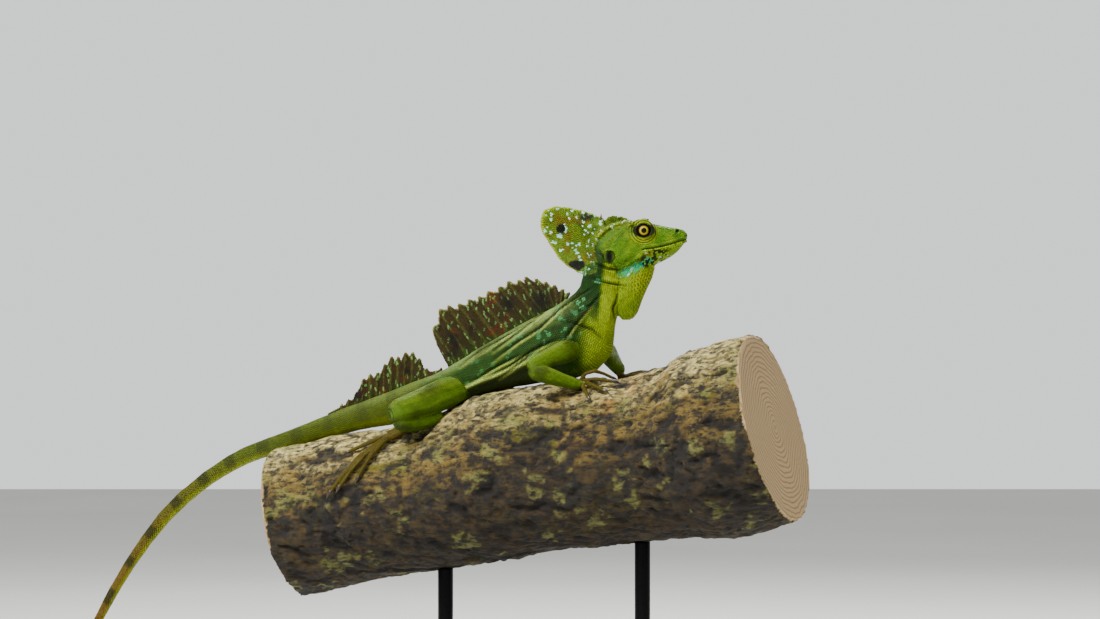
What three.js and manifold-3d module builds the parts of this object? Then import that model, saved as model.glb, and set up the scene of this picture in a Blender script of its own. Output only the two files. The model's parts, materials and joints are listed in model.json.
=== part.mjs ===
// A male green basilisk at life size, resting on a short cut length of branch that two rods hold over a
// round base. Millimetres, +Z up, +X towards the head end. The origin is the middle of the base's underside.
// Every size of the animal and the perch is measured from one level, the sight line, which lies
// SIGHT_HEIGHT above the floor.

import * as THREE from "three";
import { mergeVertices } from "three/addons/utils/BufferGeometryUtils.js";
import Module from "manifold-3d";

const wasm = await Module();
wasm.setup();

// Driving dimensions
const GAP = 0.3; // between two pieces that touch
const FINEST = 0.09; // detail smaller than this is dropped from a finished piece
const SIGHT_HEIGHT = 268;
const BODY_TURN = 24.7; // degrees that the trunk points nearer than +X
const PERCH_TURN = 20;
const HEAD_PITCH = 14;
const HEAD_PLANE = -22; // y of the head's own mid plane
const EYE = { x: 66.6, z: 109.5, out: 7, radius: 4.9 };
const TAIL_STEP = 54; // length of each stretch of tail beyond the perch
const SAIL_RAYS = 17;
const TAIL_RAYS = 17;
const BASE = { radius: 118, thick: 15, edge: 3 };
const ROD = { radius: 5, places: [-62, 66] };

const radians = THREE.MathUtils.degToRad;
const vector = (x, y, z) => new THREE.Vector3(x, y, z);

// Shapes as solids

// A three.js geometry as a closed solid, turned right side out.
function toSolid(geometry) {
  const bare = new THREE.BufferGeometry();
  bare.setAttribute("position", geometry.getAttribute("position").clone());
  bare.setIndex(geometry.index);
  const merged = mergeVertices(bare, 1e-3);
  const corners = new Uint32Array(merged.index.array);
  const points = merged.attributes.position.array;
  const make = () => new wasm.Manifold(new wasm.Mesh({ numProp: 3, vertProperties: points, triVerts: corners }));
  const made = make();
  if (made.volume() > 0) return made;
  for (let i = 0; i < corners.length; i += 3) [corners[i + 1], corners[i + 2]] = [corners[i + 2], corners[i + 1]];
  return make();
}

const join = (...solids) => solids.reduce((all, one) => all.add(one));
const cut = (solid, ...tools) => tools.reduce((left, tool) => left.subtract(tool), solid);

function largest(solid) {
  return solid.decompose().reduce((best, one) => (one.volume() > best.volume() ? one : best));
}

// Lines that body parts follow

const KEYS = ["x", "y", "z", "wide", "top", "bottom", "turn"];

// A smooth line through stations that hold a centre, a half width, the heights over and under it, and a turn.
// Places along it are in millimetres from the station numbered zero, or x from it. With a level vector the section's
// upper side leans to that vector, and without one its width lies across the turn.
function smoothLine(stations, { zero = 0, level = null, byX = false } = {}) {
  const full = stations.map((s) => ({ turn: 0, bottom: s.top, ...s }));
  const marks = [0];
  for (let i = 1; i < full.length; i++) {
    const a = full[i - 1];
    const b = full[i];
    marks.push(marks[i - 1] + (byX ? b.x - a.x : Math.hypot(b.x - a.x, b.y - a.y, b.z - a.z)));
  }
  const start = marks[zero];
  const values = full.flatMap((s) => KEYS.map((k) => s[k]));
  const curve = new THREE.CubicInterpolant(
    new Float32Array(marks.map((m) => m - start)),
    new Float32Array(values),
    KEYS.length,
  );
  const at = (mm) => Array.from(curve.evaluate(mm));
  function frame(mm) {
    const [x, y, z, wide, top, bottom, turn] = at(mm);
    const [first, last] = [-start, marks.at(-1) - start];
    const behind = at(Math.max(first, mm - 0.5));
    const ahead = at(Math.min(last, mm + 0.5));
    const along = vector(ahead[0] - behind[0], ahead[1] - behind[1], ahead[2] - behind[2]).normalize();
    const side = level
      ? level.clone().cross(along)
      : vector(Math.sin(radians(turn)), Math.cos(radians(turn)), 0);
    side.addScaledVector(along, -side.dot(along)).normalize();
    const up = along.clone().cross(side);
    return { centre: vector(x, y, z), along, side, up, wide, top, bottom };
  }
  return { frame, first: -start, last: marks.at(-1) - start };
}

// A point of the section at a place on a line, where across and over run from -1 to 1 round the section.
function onSection(f, across, over, { square = 2.2, grow = 0, share = 1 } = {}) {
  const bend = (v) => Math.sign(v) * Math.abs(v) ** (2 / square);
  const tall = (over > 0 ? f.top : f.bottom) + grow;
  return f.centre
    .clone()
    .addScaledVector(f.side, -bend(across) * (f.wide + grow) * share)
    .addScaledVector(f.up, bend(over) * tall * share);
}

// Wraps a unit cylinder or ball, whose axis is y, by a rule that places each of its points.
function wrap(geometry, place) {
  const p = geometry.attributes.position;
  for (let i = 0; i < p.count; i++) {
    const [x, y, z] = [p.getX(i), p.getY(i), p.getZ(i)];
    const out = Math.hypot(x, z);
    const flat = out < 1e-5;
    const q = place(y, flat ? 0 : x / out, flat ? 1 : z / out, flat ? 0 : 1);
    p.setXYZ(i, q.x, q.y, q.z);
  }
  return toSolid(geometry);
}

// A length of a line with flat ends square to it.
function length(line, from, to, { sides = 16, steps = 8, grow = 0, square = 2.2 } = {}) {
  return wrap(new THREE.CylinderGeometry(1, 1, 1, sides, steps), (y, across, over, out) => {
    const f = line.frame(from + (y + 0.5) * (to - from));
    const past = Math.abs(y) > 0.4999 ? Math.sign(y) * grow : 0;
    return onSection(f, across, over, { square, grow, share: out }).addScaledVector(f.along, past);
  });
}

// A whole line with round ends, each rounded over its own half width.
function rounded(line, { sides = 12, steps = 9, grow = 0, square = 2.2, snub = 1 } = {}) {
  const [from, to] = [line.first, line.last];
  const caps = [from, to].map((mm) => snub * Math.min(line.frame(mm).wide, line.frame(mm).top));
  return wrap(new THREE.SphereGeometry(1, sides, steps), (y, across, over, out) => {
    const mm = from + ((y + 1) / 2) * (to - from);
    const round = ([left, cap]) => (left < cap ? Math.sqrt(Math.max(0, 1 - (1 - left / cap) ** 2)) : 1);
    const share = out * Math.min(round([mm - from, caps[0]]), round([to - mm, caps[1]]));
    const f = line.frame(mm);
    const past = out ? 0 : Math.sign(y) * grow;
    return onSection(f, across, over, { square, grow, share }).addScaledVector(f.along, past);
  });
}

// Thin vanes: crests and sails

// A closed plate between a root line and an edge line. Both faces are split into triangles alike.
function vane({ columns, rows, root, edge, half, normal }) {
  const points = [];
  const faces = [];
  const spot = (face, i, j) => face * (columns + 1) * (rows + 1) + i * (rows + 1) + j;
  for (const face of [1, -1])
    for (let i = 0; i <= columns; i++)
      for (let j = 0; j <= rows; j++) {
        const [u, v] = [i / columns, j / rows];
        const p = root(u).lerp(edge(u), v).addScaledVector(normal(u, v), face * half(u, v));
        points.push(p.x, p.y, p.z);
      }
  const quad = (a, b, c, d) => faces.push(a, b, c, a, c, d);
  for (let i = 0; i < columns; i++)
    for (let j = 0; j < rows; j++) {
      quad(spot(0, i, j), spot(0, i + 1, j), spot(0, i + 1, j + 1), spot(0, i, j + 1));
      faces.push(spot(1, i, j), spot(1, i + 1, j + 1), spot(1, i + 1, j));
      faces.push(spot(1, i, j), spot(1, i, j + 1), spot(1, i + 1, j + 1));
    }
  for (let i = 0; i < columns; i++) {
    quad(spot(1, i, 0), spot(1, i + 1, 0), spot(0, i + 1, 0), spot(0, i, 0));
    quad(spot(0, i, rows), spot(0, i + 1, rows), spot(1, i + 1, rows), spot(1, i, rows));
  }
  for (let j = 0; j < rows; j++) {
    quad(spot(1, 0, j + 1), spot(1, 0, j), spot(0, 0, j), spot(0, 0, j + 1));
    quad(spot(1, columns, j), spot(1, columns, j + 1), spot(0, columns, j + 1), spot(0, columns, j));
  }
  const geometry = new THREE.BufferGeometry();
  geometry.setAttribute("position", new THREE.Float32BufferAttribute(points, 3));
  geometry.setIndex(faces);
  return toSolid(geometry);
}

// A smooth value or set of values over a run from 0 to 1.
function smoothRule(marks, values) {
  const size = values.length / marks.length;
  const rule = new THREE.CubicInterpolant(new Float32Array(marks), new Float32Array(values), size);
  return (u) => Array.from(rule.evaluate(u));
}

// A fin held by rays: each ray is a ridge on the membrane that ends in a free point, and the membrane
// is notched between the points.
function rayedFin({ rays, rows, root, edge, notch, normal, membrane, ridge }) {
  const place = (u) => u * (rays - 1);
  const onRay = (u) => Math.abs(place(u) - Math.round(place(u))) < 0.01;
  const uneven = (u) => 0.6 + 0.6 * Math.sin(Math.round(place(u)) * 2.4);
  return vane({
    columns: (rays - 1) * 3,
    rows,
    root,
    edge: (u) => {
      const [from, to] = [root(u), edge(u)];
      const long = from.distanceTo(to);
      return to.lerp(from, Math.min(onRay(u) ? uneven(u) : notch, 0.3 * long) / long);
    },
    half: (u, v) => (membrane + (onRay(u) ? ridge : 0)) * (1 - 0.55 * v),
    normal,
  });
}

// The perch

// Stations of the branch from its left cut end to its right one.
const perchLine = (() => {
  const slope = Math.tan(radians(PERCH_TURN));
  const stations = [
    { x: -164.5, z: -82.6, wide: 49.5 },
    { x: -123.5, z: -72, wide: 50 },
    { x: -58.5, z: -60.8, wide: 50.5 },
    { x: -32.5, z: -52.5, wide: 55.5 },
    { x: 0, z: -45.2, wide: 54.5 },
    { x: 39, z: -40.4, wide: 52.5 },
    { x: 72, z: -35.4, wide: 52.8 },
    { x: 91, z: -32, wide: 55.4 },
    { x: 109, z: -27.6, wide: 61.4 },
    { x: 149.5, z: -16.3, wide: 61 },
  ];
  return smoothLine(
    stations.map((s) => ({ ...s, y: -slope * s.x, top: s.wide, turn: PERCH_TURN })),
    { zero: 4, byX: true },
  );
})();

// How far the bark swells or sinks at a place along the branch and an angle round it.
function barkSwell(mm, angle) {
  return (
    1.1 * Math.sin(2 * angle + 0.021 * mm) +
    0.9 * Math.sin(3 * angle - 0.034 * mm + 1) +
    0.6 * Math.sin(5 * angle + 0.06 * mm + 2)
  );
}

function makePerch(grow = 0) {
  const [from, to] = [perchLine.first, perchLine.last];
  return wrap(new THREE.CylinderGeometry(1, 1, 1, 24, 16), (y, across, over, out) => {
    const mm = from + (y + 0.5) * (to - from);
    const f = perchLine.frame(mm);
    const past = Math.abs(y) > 0.4999 ? Math.sign(y) * grow : 0;
    const reach = out * (f.wide + grow + barkSwell(mm, Math.atan2(across, over)));
    return f.centre
      .clone()
      .addScaledVector(f.side, -across * reach)
      .addScaledVector(f.up, over * reach)
      .addScaledVector(f.along, past);
  });
}

// A point over the bark: x of the branch's middle there, degrees round it from the top towards the near side.
function onPerch(x, degrees, lift) {
  const f = perchLine.frame(x);
  const angle = radians(degrees);
  const reach = f.wide + barkSwell(x, angle) + lift;
  return f.centre
    .clone()
    .addScaledVector(f.side, -Math.sin(angle) * reach)
    .addScaledVector(f.up, Math.cos(angle) * reach);
}

// Spine: tail, trunk and neck on one line, in millimetres from the vent

// The stretch of tail beyond the perch sags, then levels out towards its tip.
function hangingTail(root) {
  const dips = [20, 36, 52, 60, 52, 34, 14];
  const headings = [24, 20, 14, 8, 2, -4, -8];
  const stations = [];
  let at = vector(root.x, root.y, root.z);
  dips.forEach((dip, i) => {
    const [d, h] = [radians(dip), radians(headings[i])];
    at = at.clone().add(
      vector(-Math.cos(d) * Math.cos(h), Math.cos(d) * Math.sin(h), -Math.sin(d)).multiplyScalar(TAIL_STEP),
    );
    const left = 1 - (i + 1) / dips.length;
    const wide = 0.7 + (root.wide - 0.7) * left ** 1.15;
    const top = 0.7 + (root.top - 0.7) * left ** 1.1;
    stations.push({ x: at.x, y: at.y, z: at.z, wide, top, turn: headings[i] });
  });
  return stations.reverse();
}

const TAIL_ON_PERCH = [
  { x: -162.5, y: 69.5, z: -26.5, wide: 4.9, top: 6.2 },
  { x: -140, y: 59.5, z: -18.8, wide: 5.9, top: 7.5 },
  { x: -117, y: 49, z: -11.5, wide: 7, top: 9 },
  { x: -97.5, y: 40.2, z: -5.5, wide: 8.2, top: 10.2, bottom: 11.5 },
  { x: -81, y: 32.6, z: 0.6, wide: 9.6, top: 10.6, bottom: 13.5 },
];
const TRUNK = [
  { x: -65, y: 25.2, z: 6.5, wide: 11.5, top: 10.6, bottom: 14 },
  { x: -52, y: 19.2, z: 10.4, wide: 13, top: 13.2, bottom: 14 },
  { x: -32.5, y: 10.3, z: 19.5, wide: 15.5, top: 15.6, bottom: 16 },
  { x: -13, y: 1.3, z: 28.6, wide: 17, top: 17.6, bottom: 20 },
  { x: 5.2, y: -7.1, z: 36.4, wide: 17.2, top: 19.5, bottom: 24.5 },
  { x: 20.8, y: -14.3, z: 43.5, wide: 16, top: 20.5, bottom: 29.5 },
  { x: 27.5, y: -16.8, z: 48.8, wide: 14.8, top: 20, bottom: 29, turn: 22 },
  { x: 32.5, y: -18.5, z: 54.6, wide: 13, top: 18.6, bottom: 19, turn: 18 },
];
const NECK = [
  { x: 38.6, y: -20.8, z: 67.6, wide: 10.2, top: 14.2, bottom: 14, turn: 10 },
  { x: 42, y: -21.8, z: 80.6, wide: 9.8, top: 13.8, bottom: 13, turn: 4 },
  { x: 45, y: HEAD_PLANE, z: 92, wide: 9.6, top: 12, bottom: 12, turn: 0 },
];

const hung = hangingTail(TAIL_ON_PERCH[0]);
const spine = smoothLine(
  [...hung, ...[...TAIL_ON_PERCH, ...TRUNK, ...NECK].map((s) => ({ turn: BODY_TURN, ...s }))],
  { zero: hung.length + TAIL_ON_PERCH.length },
);
const SPINE_CUTS = { tip: spine.first, rear: -290, middle: -165, base: -78, vent: 0, nape: 112, skull: spine.last };

// The point of the back's mid line over a place on the spine, and sink below it.
function onBack(mm, sink) {
  const f = spine.frame(mm);
  return f.centre.clone().addScaledVector(f.up, f.top - sink);
}

function spineLength(from, to, steps, sides, grow = 0) {
  const half = grow ? 0 : GAP / 2;
  return length(spine, from + half, to - half, { steps, sides, grow });
}

// Head, in its own frame: fore from the eye to the snout, high over the eye

const headAlong = vector(Math.cos(radians(HEAD_PITCH)), 0, Math.sin(radians(HEAD_PITCH)));
const headUp = vector(-headAlong.z, 0, headAlong.x);
const headPoint = (fore, high, out = 0) =>
  vector(EYE.x, HEAD_PLANE + out, EYE.z).addScaledVector(headAlong, fore).addScaledVector(headUp, high);

// Half width, height over and under the widest level, and that level, from the nape to the snout.
const HEAD = [
  { fore: -38, level: -2, wide: 6.5, top: 6, bottom: 9 },
  { fore: -31, level: -4, wide: 10.5, top: 11.5, bottom: 14 },
  { fore: -24, level: -7, wide: 12.8, top: 15.4, bottom: 16 },
  { fore: -16, level: -8.5, wide: 12.8, top: 17.2, bottom: 16 },
  { fore: -8, level: -9, wide: 11.8, top: 16.6, bottom: 15.6 },
  { fore: 0, level: -9, wide: 10.2, top: 15, bottom: 14.8 },
  { fore: 7, level: -9.5, wide: 8.4, top: 12.6, bottom: 13 },
  { fore: 14, level: -9.5, wide: 6.7, top: 9.4, bottom: 11 },
  { fore: 20, level: -9.3, wide: 5.4, top: 6.6, bottom: 8 },
  { fore: 24.5, level: -9.2, wide: 4.2, top: 4.4, bottom: 4.6 },
  { fore: 27.2, level: -9.2, wide: 3.2, top: 3, bottom: 3.2 },
];
const headLine = smoothLine(
  HEAD.map(({ fore, level, ...sizes }) => ({ ...headPoint(fore, level), ...sizes })),
  { zero: 5 },
);
const makeSkull = (grow = 0) => rounded(headLine, { sides: 20, steps: 16, grow, square: 2.35 });

// How far the cheek stands out at a place on the side of the head.
function cheek(fore, high) {
  const f = headLine.frame(fore);
  const lift = headPoint(fore, high).sub(f.centre).dot(headUp);
  const part = Math.min(0.98, Math.abs(lift) / (lift > 0 ? f.top : f.bottom));
  return f.wide * (1 - part ** 2.35) ** (1 / 2.35);
}

// A round rod through points on the side of the head, for lips and brow ridges.
function faceRidge(points, side, radius) {
  const stations = points.map(([fore, high, sunk]) => ({
    ...headPoint(fore, high, side * (cheek(fore, high) - sunk)),
    wide: radius,
    top: radius,
  }));
  return rounded(smoothLine(stations, { level: headUp }), { sides: 5, steps: 7 });
}

// A ball squashed to three half sizes and set in the head's frame.
function headBall(fore, high, out, sizes, sides = 9, rings = 6) {
  const ball = new THREE.SphereGeometry(1, sides, rings);
  ball.scale(sizes[0], sizes[1], sizes[2]);
  ball.rotateY(-radians(HEAD_PITCH));
  const at = headPoint(fore, high, out);
  ball.translate(at.x, at.y, at.z);
  return toSolid(ball);
}

function makeLid(side) {
  const ring = new THREE.TorusGeometry(5, 1.6, 6, 16);
  ring.rotateX(Math.PI / 2);
  ring.scale(1.14, 1, 0.98);
  ring.rotateY(-radians(HEAD_PITCH));
  const at = headPoint(0, 0, side * (EYE.out + 2.1));
  ring.translate(at.x, at.y, at.z);
  return toSolid(ring);
}

const eyeBall = (side, grow) => {
  const r = EYE.radius + grow;
  return headBall(0, 0, side * EYE.out, [r, r, r], 16, 10);
};

// A short round plug across the head, for the eardrum and its rim.
function earPlug(side, radius, from, to) {
  const plug = new THREE.CylinderGeometry(radius, radius, to - from, 12);
  const at = headPoint(EAR.fore, EAR.high, (side * (from + to)) / 2);
  plug.translate(at.x, at.y, at.z);
  return toSolid(plug);
}
const EAR = { fore: -25.5, high: -11, radius: 3.3 };

const LIP_RISE = 1.3; // of each lip over and under the line of the mouth
const MOUTH = [
  [26.5, -11.9],
  [20, -12.3],
  [12, -12.7],
  [4, -12.4],
  [-3.5, -11.6],
];

function makeHeadWhole() {
  let whole = makeSkull();
  for (const side of [1, -1]) {
    const lip = (shift) => faceRidge(MOUTH.map(([f, h]) => [f, h + shift, 0.35]), side, 1.1);
    whole = join(
      whole,
      makeLid(side),
      headBall(-1, 5.9, side * 7.6, [6.8, 2.8, 2.3]),
      faceRidge([[-5, 6.8, 0], [-14, 7.4, 0.2], [-23, 6.6, 0.3], [-30, 2, 0.4]], side, 1.3),
      faceRidge([[7, 1.2, 0.2], [14, -2.4, 0.3], [21, -5.2, 0.4]], side, 1),
      lip(LIP_RISE),
      lip(-LIP_RISE),
      headBall(20.6, -4.9, side * 4.1, [1.9, 1.3, 1.5], 7, 5),
    );
  }
  for (const side of [1, -1])
    whole = cut(
      whole,
      eyeBall(side, GAP),
      headBall(20.9, -4.8, side * 5.4, [0.95, 1.1, 0.7], 7, 5),
      earPlug(side, EAR.radius + GAP, cheek(EAR.fore, EAR.high) - 1.6, 20),
    );
  return largest(whole);
}

// The part of the head under the line of the mouth, as a slab across the whole width.
function jawSlab(shift) {
  const outline = new THREE.Shape();
  outline.moveTo(40, -11.9 - shift);
  MOUTH.forEach(([fore, high]) => outline.lineTo(fore, high - shift));
  outline.lineTo(-12 + shift, -14.5 - shift);
  outline.lineTo(-21 + shift, -18 - shift);
  outline.lineTo(-23 + shift, -40);
  outline.lineTo(40, -40);
  const slab = new THREE.ExtrudeGeometry(outline, { depth: 60, bevelEnabled: false });
  slab.translate(0, 0, -30);
  slab.rotateX(Math.PI / 2);
  slab.rotateY(-radians(HEAD_PITCH));
  slab.translate(EYE.x, HEAD_PLANE, EYE.z);
  return toSolid(slab);
}

// The bag of throat skin under the jaw, flat from side to side.
const throatLine = smoothLine(
  [
    { x: 61, z: 98, wide: 9, top: 14, bottom: 11 },
    { x: 60, z: 86, wide: 9.4, top: 14.4, bottom: 12 },
    { x: 58, z: 76, wide: 9.2, top: 12, bottom: 11 },
    { x: 55.5, z: 66, wide: 8, top: 10.5, bottom: 9 },
    { x: 55.5, z: 58, wide: 6, top: 8.5, bottom: 6.5 },
    { x: 56.5, z: 51.5, wide: 3.6, top: 5, bottom: 3.8 },
  ].map((s) => ({ ...s, y: HEAD_PLANE })),
  { zero: 0 },
);
const makeThroat = (grow = 0) => rounded(throatLine, { sides: 14, steps: 10, grow });

// Crests

const sideAcross = (turn) => vector(Math.sin(radians(turn)), Math.cos(radians(turn)), 0);

function makeRearCrest() {
  const through = (list) => new THREE.CatmullRomCurve3(list.map(([fore, high]) => headPoint(fore, high)));
  const root = through([[-23.3, 6], [-25, 2], [-29, -4], [-33, -12], [-36, -19]]);
  const edge = through([
    [-23.3, 14],
    [-30.3, 19.3],
    [-41, 25.2],
    [-52, 29.2],
    [-60.4, 27.2],
    [-63.9, 18],
    [-61, 6.5],
    [-56, -6],
    [-49, -14],
    [-43, -19],
  ]);
  const bow = (u, v) => Math.sin(Math.PI * u) * v;
  return vane({
    columns: 18,
    rows: 4,
    root: (u) => root.getPoint(u),
    edge: (u) => edge.getPoint(u).addScaledVector(sideAcross(0), 2.2 * bow(u, 1)),
    half: (u, v) => 0.5 + 1.9 * (1 - v) ** 1.4 + 0.25 * Math.cos(u * 40) ** 2 * (1 - v),
    normal: () => sideAcross(0),
  });
}

function makeFrontCrest() {
  const top = smoothRule([0, 0.15, 0.45, 0.8, 1], [7.6, 10.6, 13.4, 14.4, 12.8]);
  return vane({
    columns: 10,
    rows: 3,
    root: (u) => headPoint(-6.2 - 16.2 * u, 4),
    edge: (u) => headPoint(-6.2 - 16.2 * u, top(u)[0]),
    half: (u, v) => 0.45 + 0.75 * (1 - v),
    normal: () => sideAcross(0),
  });
}

// Places on the sail's edge from the shoulders to the hips: the share of its root, x, and z.
const SAIL_EDGE = [
  [0, 19.5, 69.5],
  [0.06, 15.5, 73.2],
  [0.14, 7.9, 77.3],
  [0.25, -3.2, 79.8],
  [0.35, -13, 79.8],
  [0.47, -24.7, 76.8],
  [0.58, -37, 70.8],
  [0.67, -45.5, 66.8],
  [0.78, -56.6, 62],
  [0.86, -65, 60.5],
  [0.915, -69, 53.5],
  [0.955, -71.5, 43.5],
  [0.985, -66.5, 33.5],
  [1, -62, 26],
];

// Places on the tail crest's edge: the share of its root and the height over the tail.
const TAIL_CREST_EDGE = [
  [0, 2.5],
  [0.07, 4],
  [0.142, 9.5],
  [0.178, 15],
  [0.233, 20.5],
  [0.352, 22.5],
  [0.45, 24],
  [0.52, 20.5],
  [0.56, 17.5],
  [0.647, 18.5],
  [0.717, 13],
  [0.75, 8.5],
  [0.84, 4.5],
  [1, 2],
];

const ruleOf = (table) => smoothRule(table.map((row) => row[0]), table.flatMap((row) => row.slice(1)));

// The sail stands on the back from the shoulders to the hips. Its rays lean back more and more.
function makeSail() {
  const rule = ruleOf(SAIL_EDGE);
  return rayedFin({
    rays: SAIL_RAYS,
    rows: 3,
    root: (u) => onBack(THREE.MathUtils.lerp(111, 9, u), 4),
    edge: (u) => {
      const [x, z] = rule(u);
      return vector(x, 22 - Math.tan(radians(BODY_TURN)) * (x + 58), z);
    },
    notch: 3,
    normal: () => sideAcross(BODY_TURN),
    membrane: 0.45,
    ridge: 0.5,
  });
}

// The tail crest is highest just behind the hips and runs out along the tail.
function makeTailCrest() {
  const rule = ruleOf(TAIL_CREST_EDGE);
  const root = (u) => onBack(THREE.MathUtils.lerp(4, -86, u), 3);
  return rayedFin({
    rays: TAIL_RAYS,
    rows: 3,
    root,
    edge: (u) => root(u).add(vector(0, 0, rule(u)[0] + 4)),
    notch: 3,
    normal: () => sideAcross(BODY_TURN),
    membrane: 0.45,
    ridge: 0.45,
  });
}

// Legs

// Each leg is a thigh or upper arm, a shin or forearm, and a foot that lies on the bark.
const LEGS = {
  fore_right: {
    upper: [
      { x: 25, y: -20, z: 39, wide: 8, top: 9.5 },
      { x: 17, y: -31, z: 32.2, wide: 7, top: 7.8 },
      { x: 6, y: -40, z: 28, wide: 5.6, top: 5.8 },
      { x: -8, y: -46, z: 21.8, wide: 4.9, top: 4.9 },
    ],
    lower: [
      { x: -7.5, y: -46, z: 20.4, wide: 5, top: 5 },
      { x: 3, y: -45.5, z: 17.2, wide: 5.7, top: 5.6 },
      { x: 14, y: -42, z: 13.7, wide: 4.6, top: 4.4 },
      { x: 27, y: -37.5, z: 9.8, wide: 3.6, top: 3.2 },
    ],
    heel: [36, 26, 4],
    ball: [41, 24, 3.2],
    digits: [
      { tip: [51, 11], arch: 1.5 },
      { tip: [59, 15], arch: 8 },
      { tip: [62, 24], arch: 3.4 },
      { tip: [58, 35], arch: 2 },
      { tip: [49, 41], arch: 3 },
    ],
    digit: 1.45,
  },
  fore_left: {
    upper: [
      { x: 27, y: -12, z: 42, wide: 8, top: 9 },
      { x: 33, y: 0, z: 40, wide: 7.6, top: 8.4 },
      { x: 38, y: 10, z: 38, wide: 6.4, top: 7 },
      { x: 43, y: 22, z: 36, wide: 5.6, top: 6 },
    ],
    lower: [
      { x: 41, y: 22, z: 37, wide: 5.8, top: 5.6 },
      { x: 44, y: 13, z: 30.4, wide: 6.4, top: 6.2 },
      { x: 48, y: 4, z: 24.2, wide: 5.2, top: 4.8 },
      { x: 53, y: -5, z: 17.8, wide: 3.9, top: 3.5 },
    ],
    heel: [52.5, -13, 4.2],
    ball: [58, -15, 3.2],
    digits: [
      { tip: [74, -6], arch: 1.5 },
      { tip: [80, -13], arch: 3.5 },
      { tip: [81, -21], arch: 3 },
      { tip: [76, -30], arch: 2 },
      { tip: [62, -38], arch: 1.5 },
    ],
    digit: 1.45,
  },
  hind_right: {
    upper: [
      { x: -50, y: 15, z: 7, wide: 10, top: 11 },
      { x: -62, y: 5, z: 2.5, wide: 11, top: 11.6, bottom: 9 },
      { x: -76, y: -5, z: -3.6, wide: 11, top: 11.2, bottom: 7 },
      { x: -89, y: -12.5, z: -7.8, wide: 9.4, top: 9.8, bottom: 6.4 },
      { x: -98, y: -17, z: -9.8, wide: 7.8, top: 8.2, bottom: 6.6 },
    ],
    lower: [
      { x: -95, y: -15, z: -12.4, wide: 6.8, top: 6 },
      { x: -86, y: -11.5, z: -14, wide: 7.6, top: 6.4 },
      { x: -75, y: -6.5, z: -13, wide: 6.6, top: 6 },
      { x: -63, y: -1, z: -10, wide: 5, top: 4.6 },
    ],
    heel: [-60, 24, 4.6],
    ball: [-84, 36, 3],
    digits: [
      { tip: [-89, 50], arch: 2.4 },
      { tip: [-99, 70], arch: 2.2 },
      { tip: [-111, 75.5], arch: 2.2 },
      { tip: [-117, 78], arch: 2.2 },
      { tip: [-108, 46], arch: 2.2 },
    ],
    digit: 1.6,
  },
  hind_left: {
    upper: [
      { x: -58, y: 30, z: 7, wide: 10, top: 11 },
      { x: -48, y: 40, z: 6, wide: 11, top: 11.8 },
      { x: -36, y: 52, z: 3.5, wide: 11, top: 11.4 },
      { x: -25, y: 62, z: 0, wide: 9.6, top: 10 },
      { x: -18, y: 68, z: -3, wide: 7.8, top: 8.2 },
    ],
    lower: [
      { x: -20, y: 66, z: -4, wide: 6.8, top: 6.8 },
      { x: -31, y: 70, z: -12, wide: 7.4, top: 7.2 },
      { x: -46, y: 74, z: -25, wide: 5.8, top: 5.6 },
      { x: -61, y: 77, z: -38, wide: 4.6, top: 4.2 },
    ],
    heel: [-74, -66, 4.6],
    ball: [-57, -72, 3],
    digits: [
      { tip: [-50, -58], arch: 2.4 },
      { tip: [-28, -66], arch: 2.2 },
      { tip: [-12, -78], arch: 2.2 },
      { tip: [-8, -92], arch: 2.2 },
      { tip: [-40, -100], arch: 2.2 },
    ],
    digit: 1.6,
  },
};

// A bent cone that starts inside the end of a digit and curves down to the bark.
function makeClaw(from, ahead, out, radius) {
  const stations = [
    [-2.4, -0.1, 0.95],
    [0.8, 0.25, 0.85],
    [2.8, -0.2, 0.5],
    [4.4, -1.2, 0.14],
  ].map(([along, rise, share]) => ({
    ...from.clone().addScaledVector(ahead, along).addScaledVector(out, rise),
    wide: radius * share,
    top: radius * share,
  }));
  return rounded(smoothLine(stations, { level: out }), { sides: 5, steps: 4 });
}

// A digit starts inside the palm and runs over the bark to its tip.
function makeDigit(ball, tip, arch, radius) {
  const steps = 4;
  const stations = [];
  for (let i = 0; i <= steps; i++) {
    const share = i / steps;
    const rise = 1.2 + (ball[2] - 1.2) * (1 - share) ** 1.5 + (arch - 1) * Math.sin(Math.PI * share ** 0.8);
    const p = onPerch(
      THREE.MathUtils.lerp(ball[0], tip[0], share),
      THREE.MathUtils.lerp(ball[1], tip[1], share ** 1.1),
      rise,
    );
    const knuckle = 1 + 0.12 * Math.cos(share * 4 * Math.PI);
    const size = radius * (1.05 - 0.35 * share) * knuckle;
    stations.push({ x: p.x, y: p.y, z: p.z, wide: size * 1.12, top: size * 0.95 });
  }
  const out = onPerch(tip[0], tip[1], 1).sub(onPerch(tip[0], tip[1], 0));
  const end = vector(stations.at(-1).x, stations.at(-1).y, stations.at(-1).z);
  const before = vector(stations.at(-2).x, stations.at(-2).y, stations.at(-2).z);
  const ahead = end.clone().sub(before).normalize();
  return join(
    rounded(smoothLine(stations, { level: out }), { sides: 6, steps: 6 }),
    makeClaw(end, ahead, out, radius * 0.8),
  );
}

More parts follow.
